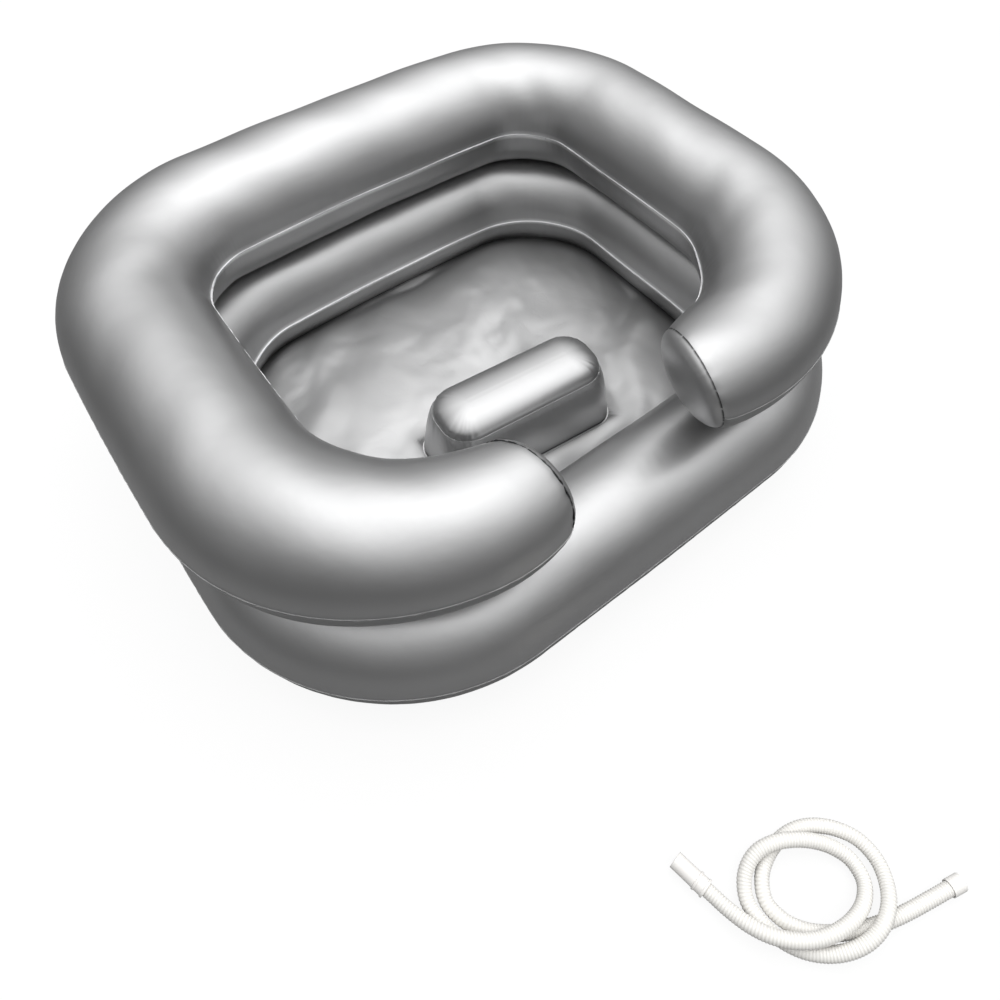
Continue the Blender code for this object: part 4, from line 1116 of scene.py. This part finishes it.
def makeValve(prefix):
    # A welded body with two fine rings on its flange, the stem that slides in it, flap, plug and strap
    v = valveShape
    name = prefix.split("_")[0] + "Valve"
    place = valvePlace(prefix)
    stemBody, plugBody = prefix + "_sliding_stem", prefix + "_pull_plug"
    bore = v["stem"] + fitGap
    collar = bore + v["collarWall"]
    base, top = fitGap, fitGap + v["flangeThick"]
    outline = [(bore, -v["collarDepth"]), (collar, -v["collarDepth"]), (collar, base), (v["flange"], base),
               (v["flange"], top), *ridges(v, collar, top),
               (bore, top)]
    lathe(name + "Body", prefix + "_body", outline, place, "soft", "basin", 48, 0.0002)

    stemBore = v["stem"] - v["stemWall"]
    rimBase = top + fitGap
    rimTop = rimBase + v["rimThick"]
    rim = v["stem"] + v["overhang"]
    end = rimTop - v["length"]
    bead = v["stem"] + v["collarWall"]
    outline = [(stemBore, end), (bead, end), (bead, end + v["rimThick"]), (v["stem"], end + v["rimThick"]),
               (v["stem"], rimBase), (rim, rimBase), (rim, rimTop), (stemBore, rimTop)]
    lathe(name + "Stem", prefix + "_stem", outline, place, "clear", stemBody, 40, 0.0002)

    flap = stemBore + v["flapOverlap"]
    hinge = place @ Matrix.Translation((-flap, 0.0, end - fitGap))
    latheSolid(name + "Flap", prefix + "_flap", [(flap, -v["flapThick"]), (flap, 0.0)], hinge, "clear",
               prefix + "_return_flap", 32, 0.00015, flap)

    shank = stemBore - fitGap
    headBase = rimTop + fitGap
    outline = [(shank * v["plugTip"], rimTop - v["shank"]), (shank, rimTop - v["shank"] * 0.75),
               (shank, headBase), (v["head"], headBase), (v["head"], headBase + v["headThick"])]
    latheSolid(name + "Plug", prefix + "_plug", outline, place, "clear", plugBody)

    low = rimBase + v["rimThick"] / 2.0
    high = headBase + v["headThick"] / 2.0
    root = rim + fitGap
    turn = (high - low) / 2.0
    angles = np.linspace(-math.pi / 2.0, math.pi / 2.0, 7)
    reach = root + v["strapReach"]
    halfway = root + v["strapReach"] / 2.0
    bend = [(reach + turn * math.cos(a), 0.0, low + turn * (1.0 + math.sin(a))) for a in angles]
    line = [(root, 0.0, low), (halfway, 0.0, low), *bend, (halfway, 0.0, high), (root, 0.0, high)]
    strap(name + "Strap", prefix + "_strap", line, v["strapWidth"], v["strapThick"], "clear", place, 0.0)


def makeDrain():
    # The welded body narrows to the spout; the stopper has a knob to pull and a strap welded to the floor
    d = drainShape
    place = Matrix.Translation((*d["place"], 0.0))
    collar = d["seat"] + d["wall"]
    base = floorShape["height"] + fitGap
    top = base + d["thick"]
    seatFoot = top - d["depth"]
    coneFoot = seatFoot - d["cone"]
    seatLow = d["seat"] - d["draft"]
    outline = [(d["seat"], top), (seatLow, seatFoot), (d["bore"], coneFoot), (d["bore"], d["spoutEnd"]),
               (d["spout"], d["spoutEnd"]), (d["spout"], coneFoot), (collar, seatFoot), (collar, base),
               (d["flange"], base), (d["flange"], top),
               *ridges(d, collar, top)]
    lathe("drainBody", "drain_body", outline, place, "soft", "basin", 64, 0.0003)

    headBase = top + fitGap
    headTop = headBase + d["headThick"]
    knobTop = headTop + d["knobHeight"]
    middle = (headTop + knobTop) / 2.0
    outline = [(seatLow - fitGap, seatFoot + d["wall"]), (d["seat"] - fitGap, headBase),
               (d["head"], headBase), (d["head"], headTop), (d["waist"], headTop), (d["waist"], middle),
               (d["knob"], middle + fitGap), (d["knob"], knobTop)]
    latheSolid("drainStopper", "drain_stopper", outline, place, "soft", "lift_stopper", 56, 0.0004)

    aim = place @ Matrix.Rotation(math.radians(d["strapTurn"]), 4, "Z")
    start = d["head"] + fitGap
    end = start + d["strapLength"]
    high = headBase + d["headThick"] / 2.0
    low = floorShape["height"] + fitGap + d["strapThick"] / 2.0
    edge = d["flange"] + fitGap + d["strapThick"]
    line = [(start, 0.0, high), ((start + edge) / 2.0, 0.0, high), (edge, 0.0, high),
            (edge + 0.004, 0.0, (high + low) / 2.0), (edge + d["strapFall"], 0.0, low),
            (end - d["strapEnd"], 0.0, low), (end, 0.0, low)]
    strap("drainStrap", "drain_strap", line, d["strapWidth"], d["strapThick"], "soft", aim, 0.25)


for prefix in valvePlaces:
    makeValve(prefix)
makeDrain()
print("valves and drain made")


# Floor of the studio, lamp and background

studioLook = {
    "groundSeen": 0.9, "nearBounce": 0.22, "farBounce": 0.06, "nearReach": 0.35, "farReach": 0.85,
    "groundRoughness": 0.9, "groundHalf": 4.0, "groundDrop": 0.0002, "cameraShare": 0.9,
    "glossyShare": 0.06, "skyTurn": 19.0, "skyTilt": 10.0, "horizon": 0.18, "zenith": 2.85,
    "skyStart": -0.6, "skyEnd": 1.0, "skyPower": 4.4, "lampPlace": (0.25, 0.1, 1.5),
    "lampAim": (0.0, 0.0, 0.1), "lampSize": 1.0, "lampWatts": 1.5,
}
white = (1.0, 1.0, 1.0, 1.0)


def rays(made, kind):  # 1 for rays of one kind
    return made.node("ShaderNodeLightPath", {}, out=f"Is {kind} Ray")


def makeGround():
    # White to the camera, apart from the object's shadow; what the film mirrors is a mid grey near the
    # object that falls off to a dark grey further out
    look = studioLook
    half = look["groundHalf"]
    mesh = bpy.data.meshes.new("ground")
    corners = [(-half, -half, 0), (half, -half, 0), (half, half, 0), (-half, half, 0)]
    mesh.from_pydata(corners, [], [(0, 1, 2, 3)])
    plane = addObject("ground", mesh)
    plane.location.z = -look["groundDrop"]
    made = Finish("groundFinish", Roughness=look["groundRoughness"], Specular_IOR_Level=0.0)
    seen, glossy, through = (rays(made, kind) for kind in ("Camera", "Glossy", "Transmission"))
    away = made.node("ShaderNodeVectorMath", {"operation": "LENGTH"}, made.place, out="Value")
    bounce = made.band(away, look["nearReach"], look["farReach"])
    bounce = made.colours(bounce, look["nearBounce"], look["farBounce"])
    made.feed("Base Color", made.colours(seen, bounce, look["groundSeen"]))
    share = (seen + through) * look["cameraShare"] + glossy * look["glossyShare"]
    glow = made.node("ShaderNodeEmission", {}, white, 1.0)
    mixed = made.node("ShaderNodeMixShader", {}, share, Link(made, made.shader.outputs[0]), glow)
    made.join(mixed, made.tree.nodes["Material Output"].inputs[0])
    mesh.materials.append(made.material)


def makeSky():
    # A wide soft light overhead: its strength rises with the cosine between the direction and the middle
    # of the light, and stays low round the horizon, so the sides of the rings fall dark
    look = studioLook
    world = bpy.data.worlds.new("studio")
    world.use_nodes = True
    bpy.context.scene.world = world
    made = Nodes(world.node_tree)
    turn, tilt = math.radians(look["skyTurn"]), math.radians(look["skyTilt"])
    middle = (math.sin(tilt) * math.cos(turn), math.sin(tilt) * math.sin(turn), math.cos(tilt))
    direction = made.node("ShaderNodeTexCoord", {}, out="Generated")
    cosine = made.node("ShaderNodeVectorMath", {"operation": "DOT_PRODUCT"}, direction, middle, out="Value")
    share = made.node("ShaderNodeMapRange", {}, cosine, look["skyStart"], look["skyEnd"])
    strength = look["horizon"] + share ** look["skyPower"] * (look["zenith"] - look["horizon"])
    light = made.node("ShaderNodeBackground", {}, white, strength)
    shown = made.node("ShaderNodeBackground", {}, white, 1.0)
    seen = (rays(made, "Camera") + rays(made, "Transmission")).clamped()
    mixed = made.node("ShaderNodeMixShader", {}, seen, light, shown)
    made.join(mixed, made.tree.nodes["World Output"].inputs[0])


def makeLamp():
    look = studioLook
    data = bpy.data.lights.new("topPanel", "AREA")
    data.shape = "RECTANGLE"
    data.size = data.size_y = look["lampSize"]
    data.energy = look["lampWatts"]
    lamp = addObject("topPanel", data)
    lamp.location = look["lampPlace"]
    way = Vector(look["lampAim"]) - Vector(look["lampPlace"])
    lamp.rotation_euler = way.to_track_quat("-Z", "Y").to_euler()


makeGround()
makeSky()
makeLamp()
bpy.context.scene.view_settings.view_transform = "Standard"
print("studio made")
